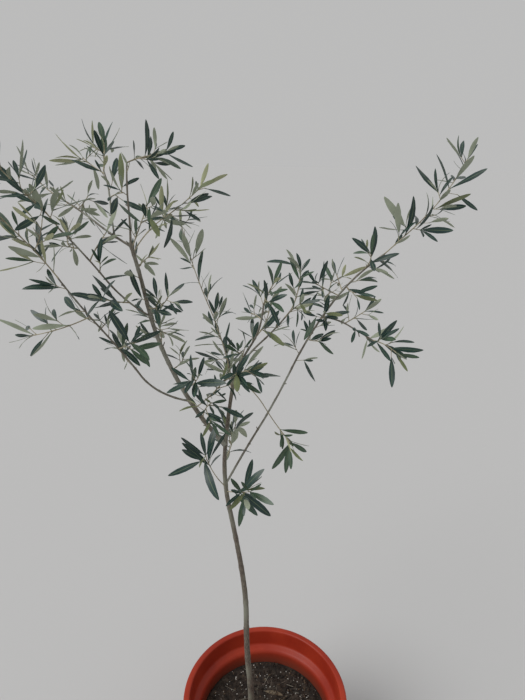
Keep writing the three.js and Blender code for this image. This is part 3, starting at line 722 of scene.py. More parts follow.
def bark_paint(name, dark, light, grey):
    """Bark in three tones: streaks between dark and light that run lengthwise on the UV map, grey
    clouds, and lenticels, each the middle of a cell."""
    material, tree, shader = painted(name, dark, BARK_ROUGHNESS[0])
    blotch, _ = mottled(tree, blotch=34, grain=420, stretch=(1, 1, 0.35))
    uv, place = node_of(tree, "UVMap").outputs["UV"], node_of(tree, "TexCoord").outputs["Object"]
    lengthwise = node_of(tree, "Mapping", {"Vector": uv, "Scale": STREAK_STRETCH}).outputs["Vector"]
    values = {"Vector": lengthwise, "Scale": STREAK_SCALE, "Detail": 6}
    streak = node_of(tree, "TexNoise", values).outputs["Fac"]
    wood = mixed(tree, ramp(tree, streak, *STREAK_TONES), dark, light)
    wood = mixed(tree, ramp(tree, blotch, *GREY_CLOUDS), wood, grey)
    flecks = node_of(tree, "TexVoronoi", {"Vector": place, "Scale": LENTICEL_SCALE})
    fleck = ramp(tree, flecks.outputs["Distance"], *LENTICEL_SIZES, (WHITE, BLACK))
    dotted = mixed(tree, spread_value(tree, fleck, 0.0, LENTICEL_MOST), wood, LENTICEL)
    feed(tree, dotted, shader.inputs["Base Color"])
    feed(tree, spread_value(tree, streak, *BARK_ROUGHNESS), shader.inputs["Roughness"])
    roughened(tree, shader, streak, *BARK_GRAIN)
    return material


trunk_paint = bark_paint("trunk_bark", *TRUNK_COLOURS)
bough_paint = bark_paint("bough_bark", *BOUGH_COLOURS)

children = {}
for name, on, at, *_ in LIMBS:
    if on:
        children.setdefault(on, []).append(at)
trunk_swell = knotted(sorted(children["trunk"] + OLD_SCARS), height=0.55, reach=5)
trunk_relief = ridged(seed=3, depth=0.22, rough_foot=0.5)
trunk_tube = tube(limbs["trunk"], pitch=1.6, sides=28, swell=trunk_swell, relief=trunk_relief, sink=7.0)
trunk_bark = joined("trunk_bark", [trunk_tube], trunk_paint)
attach(trunk_bark, "root")
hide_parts("trunk")

bough_parts = []
bough_scars = {}
for k, (name, _, _, _, _, length, (thick, _)) in enumerate(LIMBS[1:]):
    first = SCARS_FROM + SCAR_SHIFT * k % SCAR_SHIFT_BELOW
    rings = np.arange(first, length - SCARS_END, SCAR_STEP + SCAR_STRETCH * (k % SCAR_STRETCHES))
    bough_scars[name] = [*rings, *children.get(name, [])]
    swell = knotted(bough_scars[name], RING_LEAST + RING_SHARE * thick, RING_REACH, COLLAR_SHARE * thick)
    relief = ridged(seed=11 + k, depth=RIDGE_LEAST + RIDGE_SHARE * thick)
    bough_parts.append(tube(limbs[name], pitch=1.9, sides=14, swell=swell, relief=relief))
bough_bark = joined("bough_bark", bough_parts, bough_paint)
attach(bough_bark, "root")
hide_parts(*[row[0] for row in LIMBS[1:]])

# Buds and stubs: at each ring of a bough two small buds stand opposite each other, and at about a
# third of the rings a dead twig has broken off and left a short stub.
BUD_SIZE = (1.0, 1.9)
STUB_LENGTH = (3.0, 9.0)
STUB_THICK = (0.95, 0.7)
STUB_SHARE = 0.35
STUB_BEND = (8, 5)
BUD_TURN = 85
BUD_SWAY = (-15, 15)
BUD_LEAN = 0.8
BUD_STRETCH = 0.5
bud_draw = np.random.default_rng(23)


def headed(way):
    """A direction's azimuth and rise in degrees."""
    return math.degrees(math.atan2(way[1], way[0])), math.degrees(math.asin(way[2]))


bud_places, bud_ways, stub_parts = [], [], []
for name, scars in bough_scars.items():
    limb = limbs[name]
    for k, scar in enumerate(scars):
        f = scar / limb.length
        t, place, radius = limb.heading(f), limb.point(f), float(limb.radius(f))
        for half in (0, 180):
            way = unit(across(t, BUD_TURN * k + half + bud_draw.uniform(*BUD_SWAY)) + BUD_LEAN * t)
            bud_places.append(place + way * radius)
            bud_ways.append(way)
        if bud_draw.uniform() < STUB_SHARE:
            azimuths, rises = ([start, start + bend] for start, bend in zip(headed(way), STUB_BEND))
            length = bud_draw.uniform(*STUB_LENGTH)
            stub = Limb(place, azimuths, rises, length + radius, STUB_THICK)
            swell, relief = knotted([length], height=0.15, reach=1.0), ridged(seed=60 + k, depth=0.05)
            stub_parts.append(tube(stub, pitch=1.5, sides=8, swell=swell, relief=relief))
bud_places, bud_ways = np.array(bud_places), np.array(bud_ways)
size = bud_draw.uniform(*BUD_SIZE, len(bud_places))[:, None, None]
reach = (ICOSA_POINTS @ bud_ways.T).T[..., None]
bud_shapes = (ICOSA_POINTS[None] + BUD_STRETCH * reach * bud_ways[:, None]) * size * 0.5
bud_points = (bud_shapes + bud_places[:, None]).reshape(-1, 3)
bough_buds = mesh_from(
    "bough_buds", (bud_points + TREE_FOOT) * MM,
    [copied(ICOSA_FACES, len(ICOSA_POINTS), len(bud_places))], [bough_paint],
    uv=np.full((len(bud_points), 2), 0.5),
)
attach(bough_buds, "root")
twig_stubs = joined("twig_stubs", stub_parts, bough_paint)
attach(twig_stubs, "root")

# Leafy shoots: young stems that grow on from the boughs, with leaves in opposite pairs, each pair
# about a quarter turn on from the last. A leaf that would touch a limb or another shoot is absent.
STEM_THICK = (1.5, 1.15)
SHOOTS = [
    # name, on, at, azimuths, rises, length, pairs, first pair, side shoots and their length, leaf
    ("upper_left_tip", "bough_upper_left", 160, [160, 155], [20, 35], 70, 4, 0.25, (0, 0), 50),
    ("middle_left_tip", "bough_middle_left", 185, [210, 205, 215], [60, 45, 60], 145, 6, 0.05, (1, 40), 50),
    ("middle_left_side", "bough_middle_left", 150, [180, 95], [-10, 60], 40, 4, 0.1, (1, 25), 36),
    ("middle_left_shoot", "bough_middle_left", 125, [30, 70], [65, 40], 50, 2, 0.4, (0, 0), 45),
    ("lower_left_tip", "bough_lower_left", 305, [220, 205, 225], [60, 50, 60], 165, 6, 0.05, (1, 40), 52),
    ("lower_left_side", "bough_lower_left", 230, [200, 190], [-25, -10], 95, 3, 0.3, (0, 0), 50),
    ("lower_left_spur", "bough_lower_left", 205, [100, 65], [-10, 45], 20, 2, 0.2, (0, 0), 32),
    ("lower_left_base", "bough_lower_left", 160, [-15, -55], [25, 30], 40, 3, 0.2, (0, 0), 50),
    ("middle_left_fan", "bough_middle_left", 40, [-95, -130], [15, 20], 60, 4, 0.3, (0, 0), 50),
    ("top_left_tip", "bough_top_left", 105, [85, 115], [70, 65], 40, 5, 0.1, (1, 25), 48),
    ("top_left_side", "bough_top_left", 100, [145, 140], [15, 20], 70, 2, 0.6, (0, 0), 48),
    ("top_left_inner", "bough_top_left", 60, [-45, -35], [20, 5], 50, 2, 0.2, (0, 0), 44),
    ("leader_tip", "bough_leader", 115, [35, 30, 30], [25, 10, 20], 60, 4, 0.2, (1, 25), 42),
    ("leader_side", "bough_left", 382, [-25, -50], [60, 45], 85, 3, 0.2, (0, 0), 40),
    ("leader_reach", "bough_left", 375, [70, 55, 55], [45, 25, 35], 165, 5, 0.3, (1, 25), 46),
    ("left_upper_spur", "bough_left", 350, [75, 65], [40, 15], 30, 2, 0.3, (0, 0), 34),
    ("left_middle_shoot", "bough_left", 285, [-35, -30], [0, 55], 60, 3, 0.3, (0, 0), 38),
    ("left_middle_spur", "bough_left", 255, [50, 75], [-50, -25], 40, 4, 0.1, (0, 0), 40),
    ("left_lower_spur", "bough_left", 170, [40, 85], [15, 30], 30, 2, 0.4, (0, 0), 34),
    ("left_low_fan", "bough_left", 130, [-45, -55], [25, 45], 80, 4, 0.5, (1, 20), 48),
    ("left_base_shoot", "bough_left", 90, [-25, -30, -25], [40, 50, 20], 160, 5, 0.25, (2, 30), 42),
    ("left_base_fan", "bough_left", 65, [-65, -40], [65, 35], 65, 5, 0.3, (1, 20), 36),
    ("centre_tip", "trunk", 810, [-40, -60], [60, 60], 70, 3, 0.3, (1, 25), 46),
    ("centre_side", "trunk", 780, [125, 105], [50, 55], 65, 4, 0.25, (1, 25), 38),
    ("centre_reach", "trunk", 790, [145, 155, 145], [75, 60, 70], 285, 5, 0.25, (0, 0), 44),
    ("centre_droop", "trunk", 806, [-15, -25, -20], [-20, -50, -40], 145, 3, 0.8, (0, 0), 44),
    ("trunk_left_fan", "trunk", 585, [-115, -100], [50, 65], 120, 4, 0.7, (0, 0), 66),
    ("trunk_right_fan", "trunk", 575, [-40, -50], [25, 35], 90, 5, 0.3, (0, 0), 52),
    ("centre_bough_tip", "bough_centre", 175, [-50, -40], [60, 55], 40, 4, 0.1, (0, 0), 46),
    ("centre_bough_spur", "bough_centre", 145, [120, 145], [10, 0], 30, 2, 0.3, (0, 0), 36),
    ("centre_right_tip", "bough_centre_right", 150, [15, 80], [65, 85], 65, 4, 0.3, (0, 0), 46),
    ("centre_right_side", "bough_centre_right", 135, [-60, -45], [40, 35], 55, 3, 0.3, (0, 0), 36),
    ("right_inner_shoot", "bough_right", 400, [185, 215], [25, 30], 45, 3, 0.4, (0, 0), 40),
    ("right_whorl", "bough_right", 350, [-55, -85], [30, 40], 30, 4, 0.2, (0, 0), 42),
    ("right_low_spur", "bough_right", 310, [-65, -45], [10, 15], 35, 2, 0.2, (0, 0), 36),
    ("right_upper_spur", "bough_right", 410, [110, 120], [25, 50], 35, 3, 0.2, (0, 0), 38),
    ("right_lower_spur", "bough_right", 420, [-40, -45], [-50, 20], 25, 2, 0.3, (0, 0), 44),
    ("right_crown_spur", "bough_right", 460, [-40, -105], [50, 45], 40, 4, 0.1, (0, 0), 42),
    ("right_tip", "bough_right", 500, [5, 10, 15, 20], [45, 45, 55, 65], 190, 8, 0.1, (0, 0), 52),
    ("right_side_spur", "bough_right_side", 40, [45, 35], [15, 25], 45, 3, 0.1, (0, 0), 38),
    ("trunk_back_shoot", "trunk", 640, [70, 95], [30, 50], 75, 4, 0.25, (1, 25), 46),
    ("left_back_shoot", "bough_left", 215, [105, 125], [20, 40], 70, 4, 0.25, (1, 25), 44),
    ("lower_left_back", "bough_lower_left", 120, [150, 120], [15, 30], 60, 3, 0.25, (0, 0), 44),
    ("upper_left_back", "bough_upper_left", 120, [110, 90], [0, 30], 60, 3, 0.25, (0, 0), 44),
    ("right_back_shoot", "bough_right", 375, [100, 80], [20, 45], 60, 3, 0.25, (1, 20), 42),
    ("centre_back_shoot", "bough_centre", 110, [60, 85], [25, 45], 55, 3, 0.25, (0, 0), 42),
    ("right_side_tip", "bough_right_side", 95, [-25, -35], [0, -30], 45, 4, 0.1, (0, 0), 42),
]
LEAF_SLENDER = (4.0, 5.4)
LEAF_SIZE = (0.6, 1.3)
LEAF_SPREAD = (28, 92)
LEAF_TILT = (-40, 40)
LEAF_SWAY = (-12, 12)
LEAF_FALLEN = 0.18
PAIR_TURN = (68, 112)
PAIR_SHIFT = (-0.2, 0.2)
PAIR_STAGGER = 1.4
LAST_PAIR = 0.97
PAIR_MARGIN = 0.02
SPREAD_LOSS = 0.25
TIP_LEAF_SIZE = (0.45, 0.95)
TIP_LEAF_SPREAD = (14, 38)
SIDE_SPREAD = (35, 70)
SIDE_SIZE = (0.7, 1.2)
SIDE_LIFT = (-5, 25)
SIDE_PLACE = (0.1, 0.9)
SIDE_FIRST_PAIR = 0.5
SIDE_LAST = 0.95
SIDE_LEAF = 0.8
SIDE_PAIRS = 2
SIDE_THICK = (1.25, 1.1)
LEAF_ROOM = 1.2
LEAF_ROUND = 0.7
OWN_LEAF_FROM = 0.35
OWN_LEAF_SHARE = 0.7
FINE_ROOM = 2.5
FINE_PITCH = 16
BARE_SHARE = 0.5
BOUGH_PITCH = 24
BOUGH_LEAF = 42
FINE_PLACE = (0.15, 0.85)
FINE_FIRST_PAIR = 0.45
FINE_REACH = 15
FINE_THICK = (0.8, 0.7)
FINE_LEAF = 0.95
FINE_PAIRS = 2
DRAW_PRIME = 2147483647
DRAW_FACTOR = 48271
SEED_FACTOR = 7919
SEED_SHIFT = 17
PARALLEL = 1e-9
TOUCHING = 1e-6
MOST_ROWS = 9000


def draws_from(seed):
    """A small seeded generator, the same as the solids' own: each state is the last one times a factor,
    less all whole multiples of a prime. The first three are passed over."""
    state = seed * SEED_FACTOR + SEED_SHIFT

    def draw(low, high):
        nonlocal state
        state = state * DRAW_FACTOR % DRAW_PRIME
        return low + (high - low) * state / DRAW_PRIME

    for _ in range(3):
        draw(0, 1)
    return draw


def leaving(t, roll, spread):
    """The direction that leaves a twig's own by the spread, on the side that the roll gives."""
    turn = math.radians(spread)
    return t * math.cos(turn) + across(t, roll) * math.sin(turn)


def leaf_on(twig, f, roll, spread, length, slender, tilt):
    """A leaf's root, direction, face and side: it leaves its twig by the spread, faces the twig's tip
    and is tilted round its own length."""
    t, lean = twig.heading(f), math.radians(tilt)
    ahead = leaving(t, roll, spread)
    face = unit(t - ahead * (ahead @ t))
    side = unit(np.cross(ahead, face))
    return {
        "twig": twig, "root": twig.point(f), "ahead": ahead, "length": length, "width": length / slender,
        "face": face * math.cos(lean) + side * math.sin(lean),
        "side": side * math.cos(lean) - face * math.sin(lean),
    }


def add_pairs(twig, count, first, size, draw, leaves):
    """Pairs of leaves up a twig, each about a quarter turn on from the last, and two at its tip."""
    roll = draw(0, 360)
    for k in range(count):
        even = first + (LAST_PAIR - first) * (k + draw(*PAIR_SHIFT)) / (count - 1)
        f = min(max(even, PAIR_MARGIN), 1 - PAIR_MARGIN)
        roll += draw(*PAIR_TURN)
        for half in (0, 180):
            spread = draw(*LEAF_SPREAD) * (1 - SPREAD_LOSS * f)
            length, slender, tilt = size * draw(*LEAF_SIZE), draw(*LEAF_SLENDER), draw(*LEAF_TILT)
            if draw(0, 1) > LEAF_FALLEN:
                at = f + (0.5 if half else -0.5) * PAIR_STAGGER / twig.length
                turn = roll + half + draw(*LEAF_SWAY)
                leaves.append(leaf_on(twig, at, turn, spread, length, slender, tilt))
    for half in (0, 180):
        spread, length = draw(*TIP_LEAF_SPREAD), size * draw(*TIP_LEAF_SIZE)
        slender, tilt = draw(*LEAF_SLENDER), draw(*LEAF_TILT)
        leaves.append(leaf_on(twig, 1, roll + 90 + half, spread, length, slender, tilt))


# What has grown is kept as straight stretches, one to a row: where it starts and ends, its round
# radius, its flat half width, the direction of its width, and its owner.
START, END, ROUND, FLAT, SIDE, OWNER = slice(0, 3), slice(3, 6), 6, 7, slice(8, 11), 11
placed = np.zeros((MOST_ROWS, OWNER + 1))
placed_count = 0


def stretches_of(limb, owner):
    """A limb's rows, one for each of its steps."""
    rows = np.zeros((limb.steps, OWNER + 1))
    rows[:, START], rows[:, END] = limb.points[:-1], limb.points[1:]
    rows[:, ROUND] = limb.radius(np.arange(limb.steps) / limb.steps)
    rows[:, OWNER] = owner
    return rows


def stretch_of(leaf, owner):
    """A leaf's row, from its root to its tip."""
    to = leaf["root"] + leaf["ahead"] * leaf["length"]
    return np.concatenate([leaf["root"], to, [LEAF_ROUND, leaf["width"] / 2], leaf["side"], [owner]])


def place_rows(rows):
    """Adds rows to those that what grows later has to stay clear of."""
    global placed_count
    rows = np.atleast_2d(rows)
    placed[placed_count:placed_count + len(rows)] = rows
    placed_count += len(rows)


def all_clear(a, rows, share, room):
    """Whether a stretch is further than both reaches and the room from every one of the rows, by the
    shortest line between the two. A reach is the round radius and that share of the half width, as
    far as the width points along the line."""
    if not len(rows):
        return True
    u, v, w = a[END] - a[START], rows[:, END] - rows[:, START], a[START] - rows[:, START]
    uu, uv, vv, uw, vw = u @ u, v @ u, (v * v).sum(1), w @ u, (v * w).sum(1)
    spread = uu * vv - uv * uv
    with np.errstate(divide="ignore", invalid="ignore"):
        s = np.where(spread > PARALLEL, np.clip((uv * vw - vv * uw) / spread, 0, 1), 0)
    t = np.clip((uv * s + vw) / vv, 0, 1)
    s = np.clip((uv * t - uw) / uu, 0, 1)
    gap = rows[:, START] + v * t[:, None] - (a[START] + u * s[:, None])
    distance = np.maximum(np.linalg.norm(gap, axis=1), TOUCHING / 2)
    own = a[ROUND] + share * a[FLAT] * abs(gap @ a[SIDE]) / distance
    theirs = rows[:, ROUND] + share * rows[:, FLAT] * abs((rows[:, SIDE] * gap).sum(1)) / distance
    return bool(((distance >= TOUCHING) & (distance > own + theirs + room)).all())


def outer(rows):
    """The outer part of leaves, which is all that their own shoot's other leaves stay clear of."""
    rows = rows.copy()
    rows[..., START] += (rows[..., END] - rows[..., START]) * OWN_LEAF_FROM
    return rows


def has_room(row, own_room):
    """Whether a twig's or leaf's stretch stays clear of the other limbs and shoots, and by own_room of
    its own shoot's leaves."""
    rows = placed[:placed_count]
    if not all_clear(row, rows[rows[:, OWNER] != row[OWNER]], share=1, room=LEAF_ROOM):
        return False
    own = rows[(rows[:, OWNER] == row[OWNER]) & (rows[:, FLAT] > 0)]
    return all_clear(outer(row), outer(own), OWN_LEAF_SHARE, own_room)


def side_shoot(stem, f, reach, thick, draw):
    """A shorter twig that leaves a stem at a share f of it, in a drawn direction."""
    azimuth, rise = headed(leaving(stem.heading(f), draw(0, 360), draw(*SIDE_SPREAD)))
    lift, length = draw(*SIDE_LIFT), reach * draw(*SIDE_SIZE)
    return Limb(stem.point(f), [azimuth, azimuth], [rise, rise + lift], length, thick)


crown_low, crown_high = (np.array(corner) / MM - TREE_FOOT for corner in cad_box)


def within_reach(row):
    """Whether a leaf's tip, with half its width round it, stays in the box that the solids fill."""
    tip, half = row[END], row[FLAT]
    return bool((tip - half > crown_low).all() and (tip + half < crown_high).all())


def settled(twigs, leaves, owner, standing, own_room):
    """The twigs and leaves that find room, each placed as it is kept. The first twigs, as many as
    standing says, are in place already."""
    kept = [twig for k, twig in enumerate(twigs)
            if k < standing or all(has_room(row, own_room=0) for row in stretches_of(twig, owner))]
    for twig in kept[standing:]:
        place_rows(stretches_of(twig, owner))
    grown = []
    for leaf in leaves:
        row = stretch_of(leaf, owner)
        if any(leaf["twig"] is twig for twig in kept) and has_room(row, own_room):
            place_rows(row)
            grown.append(leaf)
    return kept, grown


def grow_shoot(stem, owner, pairs, first, side, leaf, seed):
    """A shoot's twigs and leaves, on a stem that is already in place."""
    draw = draws_from(seed)
    twigs, leaves = [stem], []
    add_pairs(stem, pairs, first, leaf, draw, leaves)
    count, reach = side
    for k in range(count):
        f = first + (SIDE_LAST - first) * (k + draw(*SIDE_PLACE)) / count
        twigs.append(side_shoot(stem, f, reach, SIDE_THICK, draw))
        add_pairs(twigs[-1], SIDE_PAIRS, SIDE_FIRST_PAIR, leaf * SIDE_LEAF, draw, leaves)
    return settled(twigs, leaves, owner, standing=1, own_room=0)


def grow_finer(twigs, owner, first, pitch, leaf, seed):
    """Finer twigs at even steps up the twigs or the bough that are given, on the first of them from the
    share first of its length, each with two pairs of leaves and two more leaves at its tip."""
    draw = draws_from(seed)
    finer, leaves = [], []
    for k, twig in enumerate(twigs):
        start = 0.0 if k else first
        count = max(1, round(twig.length * (1 - start) / pitch))
        for n in range(count):
            f = start + (1 - start) * (n + draw(*FINE_PLACE)) / count
            finer.append(side_shoot(twig, f, FINE_REACH, FINE_THICK, draw))
            add_pairs(finer[-1], FINE_PAIRS, FINE_FIRST_PAIR, leaf * FINE_LEAF, draw, leaves)
    leaves = [leaf for leaf in leaves if within_reach(stretch_of(leaf, owner))]
    return settled(finer, leaves, owner, standing=0, own_room=FINE_ROOM)


owners = {name: k for k, name in enumerate([*limbs, *[row[0] for row in SHOOTS]])}
for name, limb in limbs.items():
    place_rows(stretches_of(limb, owners[name]))
stems = {}
for name, on, at, azimuth, rise, length, *_ in SHOOTS:
    start = limbs[on].point(at / limbs[on].length)
    stems[name] = Limb(start, azimuth, rise, length, STEM_THICK)
    place_rows(stretches_of(stems[name], owners[name]))
sprays = {}
for seed, (name, *_, pairs, first, side, leaf) in enumerate(SHOOTS, 1):
    sprays[name] = grow_shoot(stems[name], owners[name], pairs, first, side, leaf, seed)
fine_sprays = {}
for seed, (name, *_, first, _, leaf) in enumerate(SHOOTS, len(SHOOTS) + 1):
    fine_sprays[name] = grow_finer(sprays[name][0], owners[name], first, FINE_PITCH, leaf, seed)
for seed, (name, *_) in enumerate(LIMBS[1:], 2 * len(SHOOTS) + 1):
    fine_sprays[name] = grow_finer([limbs[name]], owners[name], BARE_SHARE, BOUGH_PITCH, BOUGH_LEAF, seed)

# Young stems: the shoots' thin round twigs, in smooth pale bark, and a little swollen where a pair of
# leaves grows and where a twig leaves its parent.
TWIG_THICK = (0.66, 0.58)
TWIG_COLOURS = [(0.230, 0.195, 0.130, 1), (0.440, 0.400, 0.285, 1)]
PAIR_RING = (0.22, 1.6)
TWIG_COLLAR = (0.3, 3.0)
young_bark, *_ = clouded(
    "young_bark", TWIG_COLOURS[0], TWIG_COLOURS, roughness=0.7,
    scales=(80, 900), clouds=(0.36, 0.64), bump=(0.25, 0.0004),
)


def even(places, *_):
    """No swelling and no relief anywhere."""
    return np.zeros_like(places)


def twig_tubes(grown, pitch, sides):
    """Round tubes for the twigs of all sprays, thinner than the solids', swollen at each leaf pair."""
    parts = []
    for twigs, leaves in grown.values():
        for twig in twigs:
            foot, middle = twig.points[0], twig.heading(0.5)
            roots = [leaf["root"] - foot for leaf in leaves if leaf["twig"] is twig]
            pairs = sorted({round(float(root @ middle)) for root in roots})
            thick = (twig.thick[0] * TWIG_THICK[0], twig.thick[1] * TWIG_THICK[1])
            slim = Limb(foot, twig.azimuth, twig.rise, twig.length, thick)
            parts.append(tube(slim, pitch, sides, knotted(pairs, *PAIR_RING, *TWIG_COLLAR), even))
    return parts


shoot_stems = joined("shoot_stems", twig_tubes(sprays, pitch=2.2, sides=8), young_bark)
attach(shoot_stems, "root")
fine_stems = joined("fine_stems", twig_tubes(fine_sprays, pitch=3.0, sides=6), young_bark)
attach(fine_stems, "root")

# Leaves: leathery narrow blades on short stalks, dark grey-green above with a pale midrib, silvery
# beneath, keeled along the rib and a little arched and twisted. They turn their upper side to the light.
BLADE_STATIONS = np.array([0, 0.06, 0.15, 0.31, 0.52, 0.72, 0.87, 0.96])
UPPER_COLUMNS = np.array([-1, -0.07, 0.07, 1])
UNDER_COLUMNS = np.array([0])
LEAF_THICK = 0.42
LEAF_THICK_SHARE = 0.0105
STALK_SHARE = 0.07
BLADE_FULLNESS = 0.9
STALK_HALF = 0.55
STALK_TAPER = 1.6
STALK_LEAST = 0.12
FOOT_SWELL = 1.2
FOOT_REACH = 0.12
BLADE_ARCH = (-0.04, 0.10)
BLADE_KEEL = (0.07, 0.42)
BLADE_TWIST = (-0.65, 0.65)
TWIST_STILL = 0.35
EDGE_ROLL = 0.35
EDGE_CURL = 0.08
WAVE_HEIGHT = 0.06
WAVE_ALONG = 9
WAVE_ACROSS = 2.2
RIB_HEIGHT = 0.18
RIB_FADE = 0.6
LIGHT_PULL = 0.8
OPEN_SIDE = (-0.5, -1.3, 1.3)
TOP_TINTS = [
    (0.012, 0.038, 0.033, 1), (0.020, 0.054, 0.044, 1), (0.044, 0.084, 0.050, 1), (0.150, 0.175, 0.080, 1),
]
UNDER_TINTS = [(0.340, 0.380, 0.285, 1), (0.430, 0.450, 0.270, 1)]
RIB_TINT = (0.120, 0.160, 0.090, 1)
TINT_SHARES = (0.46, 0.38, 0.16, 0.0)
STRAY_SHARE = 0.30
OUTLINE_SKEW = 1.12
OUTLINE_BLUNT = 0.62
ROUGHNESS_SPAN = (-0.06, 0.08)


def blade_outline(q):
    """Half width as a share of the widest: the sine of pi times a power of q that moves the widest
    place just past the middle, and that sine to a power that blunts both ends."""
    return np.sin(np.pi * np.clip(q, 0, 1) ** OUTLINE_SKEW) ** OUTLINE_BLUNT


def blade_faces(rings):
    """Faces of one blade by point number: upper sheet, under sheet, both fans to the tip, root cap. Their
    kinds are 0 above, 1 beneath, and 2 for the midrib and the stalk."""
    m, u = len(UPPER_COLUMNS), len(UNDER_COLUMNS)
    top = np.arange(rings * m).reshape(rings, m)
    low = rings * m + np.arange(rings * u).reshape(rings, u)
    under = np.column_stack([top[:, :1], low, top[:, -1:]])
    tip = rings * (m + u)

    def strips(grid, flip):
        """Quads between the rows of a grid of point numbers."""
        a, b, c, d = grid[:-1, :-1], grid[:-1, 1:], grid[1:, 1:], grid[1:, :-1]
        order = (a, d, c, b) if flip else (a, b, c, d)
        return np.stack(order, axis=-1).reshape(-1, 4)

    def fan(row, flip):
        """Triangles from a row of point numbers to the tip."""
        a, b = (row[1:], row[:-1]) if flip else (row[:-1], row[1:])
        return np.column_stack([a, b, np.full(len(a), tip)])

    quads = np.concatenate([strips(top, False), strips(under, True)])
    fans = np.concatenate([fan(top[-1], False), fan(under[-1], True)])
    cap = np.concatenate([top[0][::-1], low[0]])[None]
    rib = UPPER_COLUMNS[:-1] + UPPER_COLUMNS[1:] == 0
    upper = np.where(rib, 2, 0)
    beneath = np.ones(u + 1, int)
    stalk = np.full(m + u, 2)
    kinds = np.concatenate([stalk[:m - 1], np.tile(upper, rings - 2), stalk[:u + 1],
                            np.tile(beneath, rings - 2), upper, beneath, stalk[:1]])
    return quads, fans, cap, kinds


def leaf_blades(leaves, draw):
    """Closed blades, as points on a grid of s along and t across. Each face is pulled towards the light
    from the open side. The half width is the stalk's or the outline's times the fullness, whichever is
    more. The height is an arch of 4s(1-s), plus a keel that rises with |t|, less a roll of the edge with
    t squared and a curl of it with t to the fourth, plus a slow wave. The blade twists evenly round its
    length. The sheets lie half the thickness, times one less |t| cubed, above and below, and meet at
    the edges and the tip. Beneath, the midrib stands out."""
    count = len(leaves)
    root, ahead, face, length, width = (
        np.array([leaf[key] for leaf in leaves])[:, None, None]
        for key in ("root", "ahead", "face", "length", "width")
    )
    light = unit(np.array(OPEN_SIDE))
    face = unit(face + LIGHT_PULL * (light - ahead * (ahead @ light)[..., None]))
    side = np.cross(ahead, face)
    arch, keel, twist, wave = (
        draw.uniform(*limits, count)[:, None, None]
        for limits in (BLADE_ARCH, BLADE_KEEL, BLADE_TWIST, (0, 2 * np.pi))
    )

    def sheet(stations, columns, way):
        """The points of one sheet: way is 1 above, -1 beneath and 0 for the tip."""
        s, t = np.array(stations)[None, :, None], np.array(columns)[None, None]
        q = (s - STALK_SHARE) / (1 - STALK_SHARE)
        stalk = STALK_HALF * np.clip(1 - STALK_TAPER * q, STALK_LEAST, 1)
        half = np.maximum(width / 2 * BLADE_FULLNESS * blade_outline(q), stalk)
        half = np.where(s >= 1, 0, half)
        thick = np.maximum(LEAF_THICK, LEAF_THICK_SHARE * length)
        thick = thick * (1 + FOOT_SWELL * np.clip(1 - q / FOOT_REACH, 0, 1))
        up = length * arch * 4 * s * (1 - s) + half * keel * (abs(t) - EDGE_ROLL * t**2)
        up = up - EDGE_CURL * half * t**4
        up = up + WAVE_HEIGHT * half * np.sin(WAVE_ALONG * s + wave + WAVE_ACROSS * t)
        up = up + way * thick / 2 * (1 - abs(t) ** 3)
        up = up - (way < 0) * RIB_HEIGHT * (1 - RIB_FADE * q) * (s < 1)
        turn = (twist * (s - TWIST_STILL) + 0 * t)[..., None]
        on, out, up = ((part + 0 * t)[..., None] for part in (length * s, half * t, up))
        across_leaf = side * np.cos(turn) + face * np.sin(turn)
        over_leaf = face * np.cos(turn) - side * np.sin(turn)
        return (root + ahead * on + across_leaf * out + over_leaf * up).reshape(count, -1, 3)

    upper, under = sheet(BLADE_STATIONS, UPPER_COLUMNS, 1), sheet(BLADE_STATIONS, UNDER_COLUMNS, -1)
    return (np.concatenate([upper, under, sheet([1], [0], 0)], axis=1) + TREE_FOOT) * MM


def leaf_paint(name, colour, roughness, spread):
    """Leathery leaf surface: a plain base colour with faint paler and darker clouds and fine grain."""
    tones = (shaded(colour, 1 - spread), shaded(colour, 1 + spread))
    material, tree, shader, blotch = clouded(
        name, colour, tones, roughness, scales=(55, 1400), clouds=(0.3, 0.7), bump=(0.10, 0.0003)
    )
    span = [roughness + more for more in ROUGHNESS_SPAN]
    feed(tree, spread_value(tree, blotch, *span), shader.inputs["Roughness"])
    return material


def paints_of(name, tints, roughness, spread):
    """A leaf paint for each tint, numbered from nought."""
    return [leaf_paint(f"{name}_{k}", tint, roughness, spread) for k, tint in enumerate(tints)]


leaf_paints = [
    *paints_of("leaf_top", TOP_TINTS, roughness=0.36, spread=0.20),
    *paints_of("leaf_under", UNDER_TINTS, roughness=0.74, spread=0.12),
    leaf_paint("leaf_rib", RIB_TINT, roughness=0.55, spread=0.10),
]


def painted_leaves(name, leaves, paints, tops, unders, rib, draw):
    """One mesh of many blades, each with its own paint above and beneath, creased along its edges."""
    points = leaf_blades(leaves, draw)
    quads, fans, cap, kinds = blade_faces(len(BLADE_STATIONS))
    each = points.shape[1]
    sets = [copied(part, each, len(leaves)) for part in (quads, fans, cap)]
    paint = np.where(kinds[None] == 0, tops[:, None], np.where(kinds[None] == 1, unders[:, None], rib))
    cuts = np.cumsum([len(quads), len(fans)])
    index = np.concatenate([part.ravel() for part in np.split(paint, cuts, axis=1)])
    flags = np.zeros(each, bool)
    wide = len(UPPER_COLUMNS)
    flags[:len(BLADE_STATIONS) * wide].reshape(-1, wide)[:, [0, -1]] = True
    flags[-1] = True
    return mesh_from(name, points.reshape(-1, 3), sets, paints, index, margin=np.tile(flags, len(leaves)))


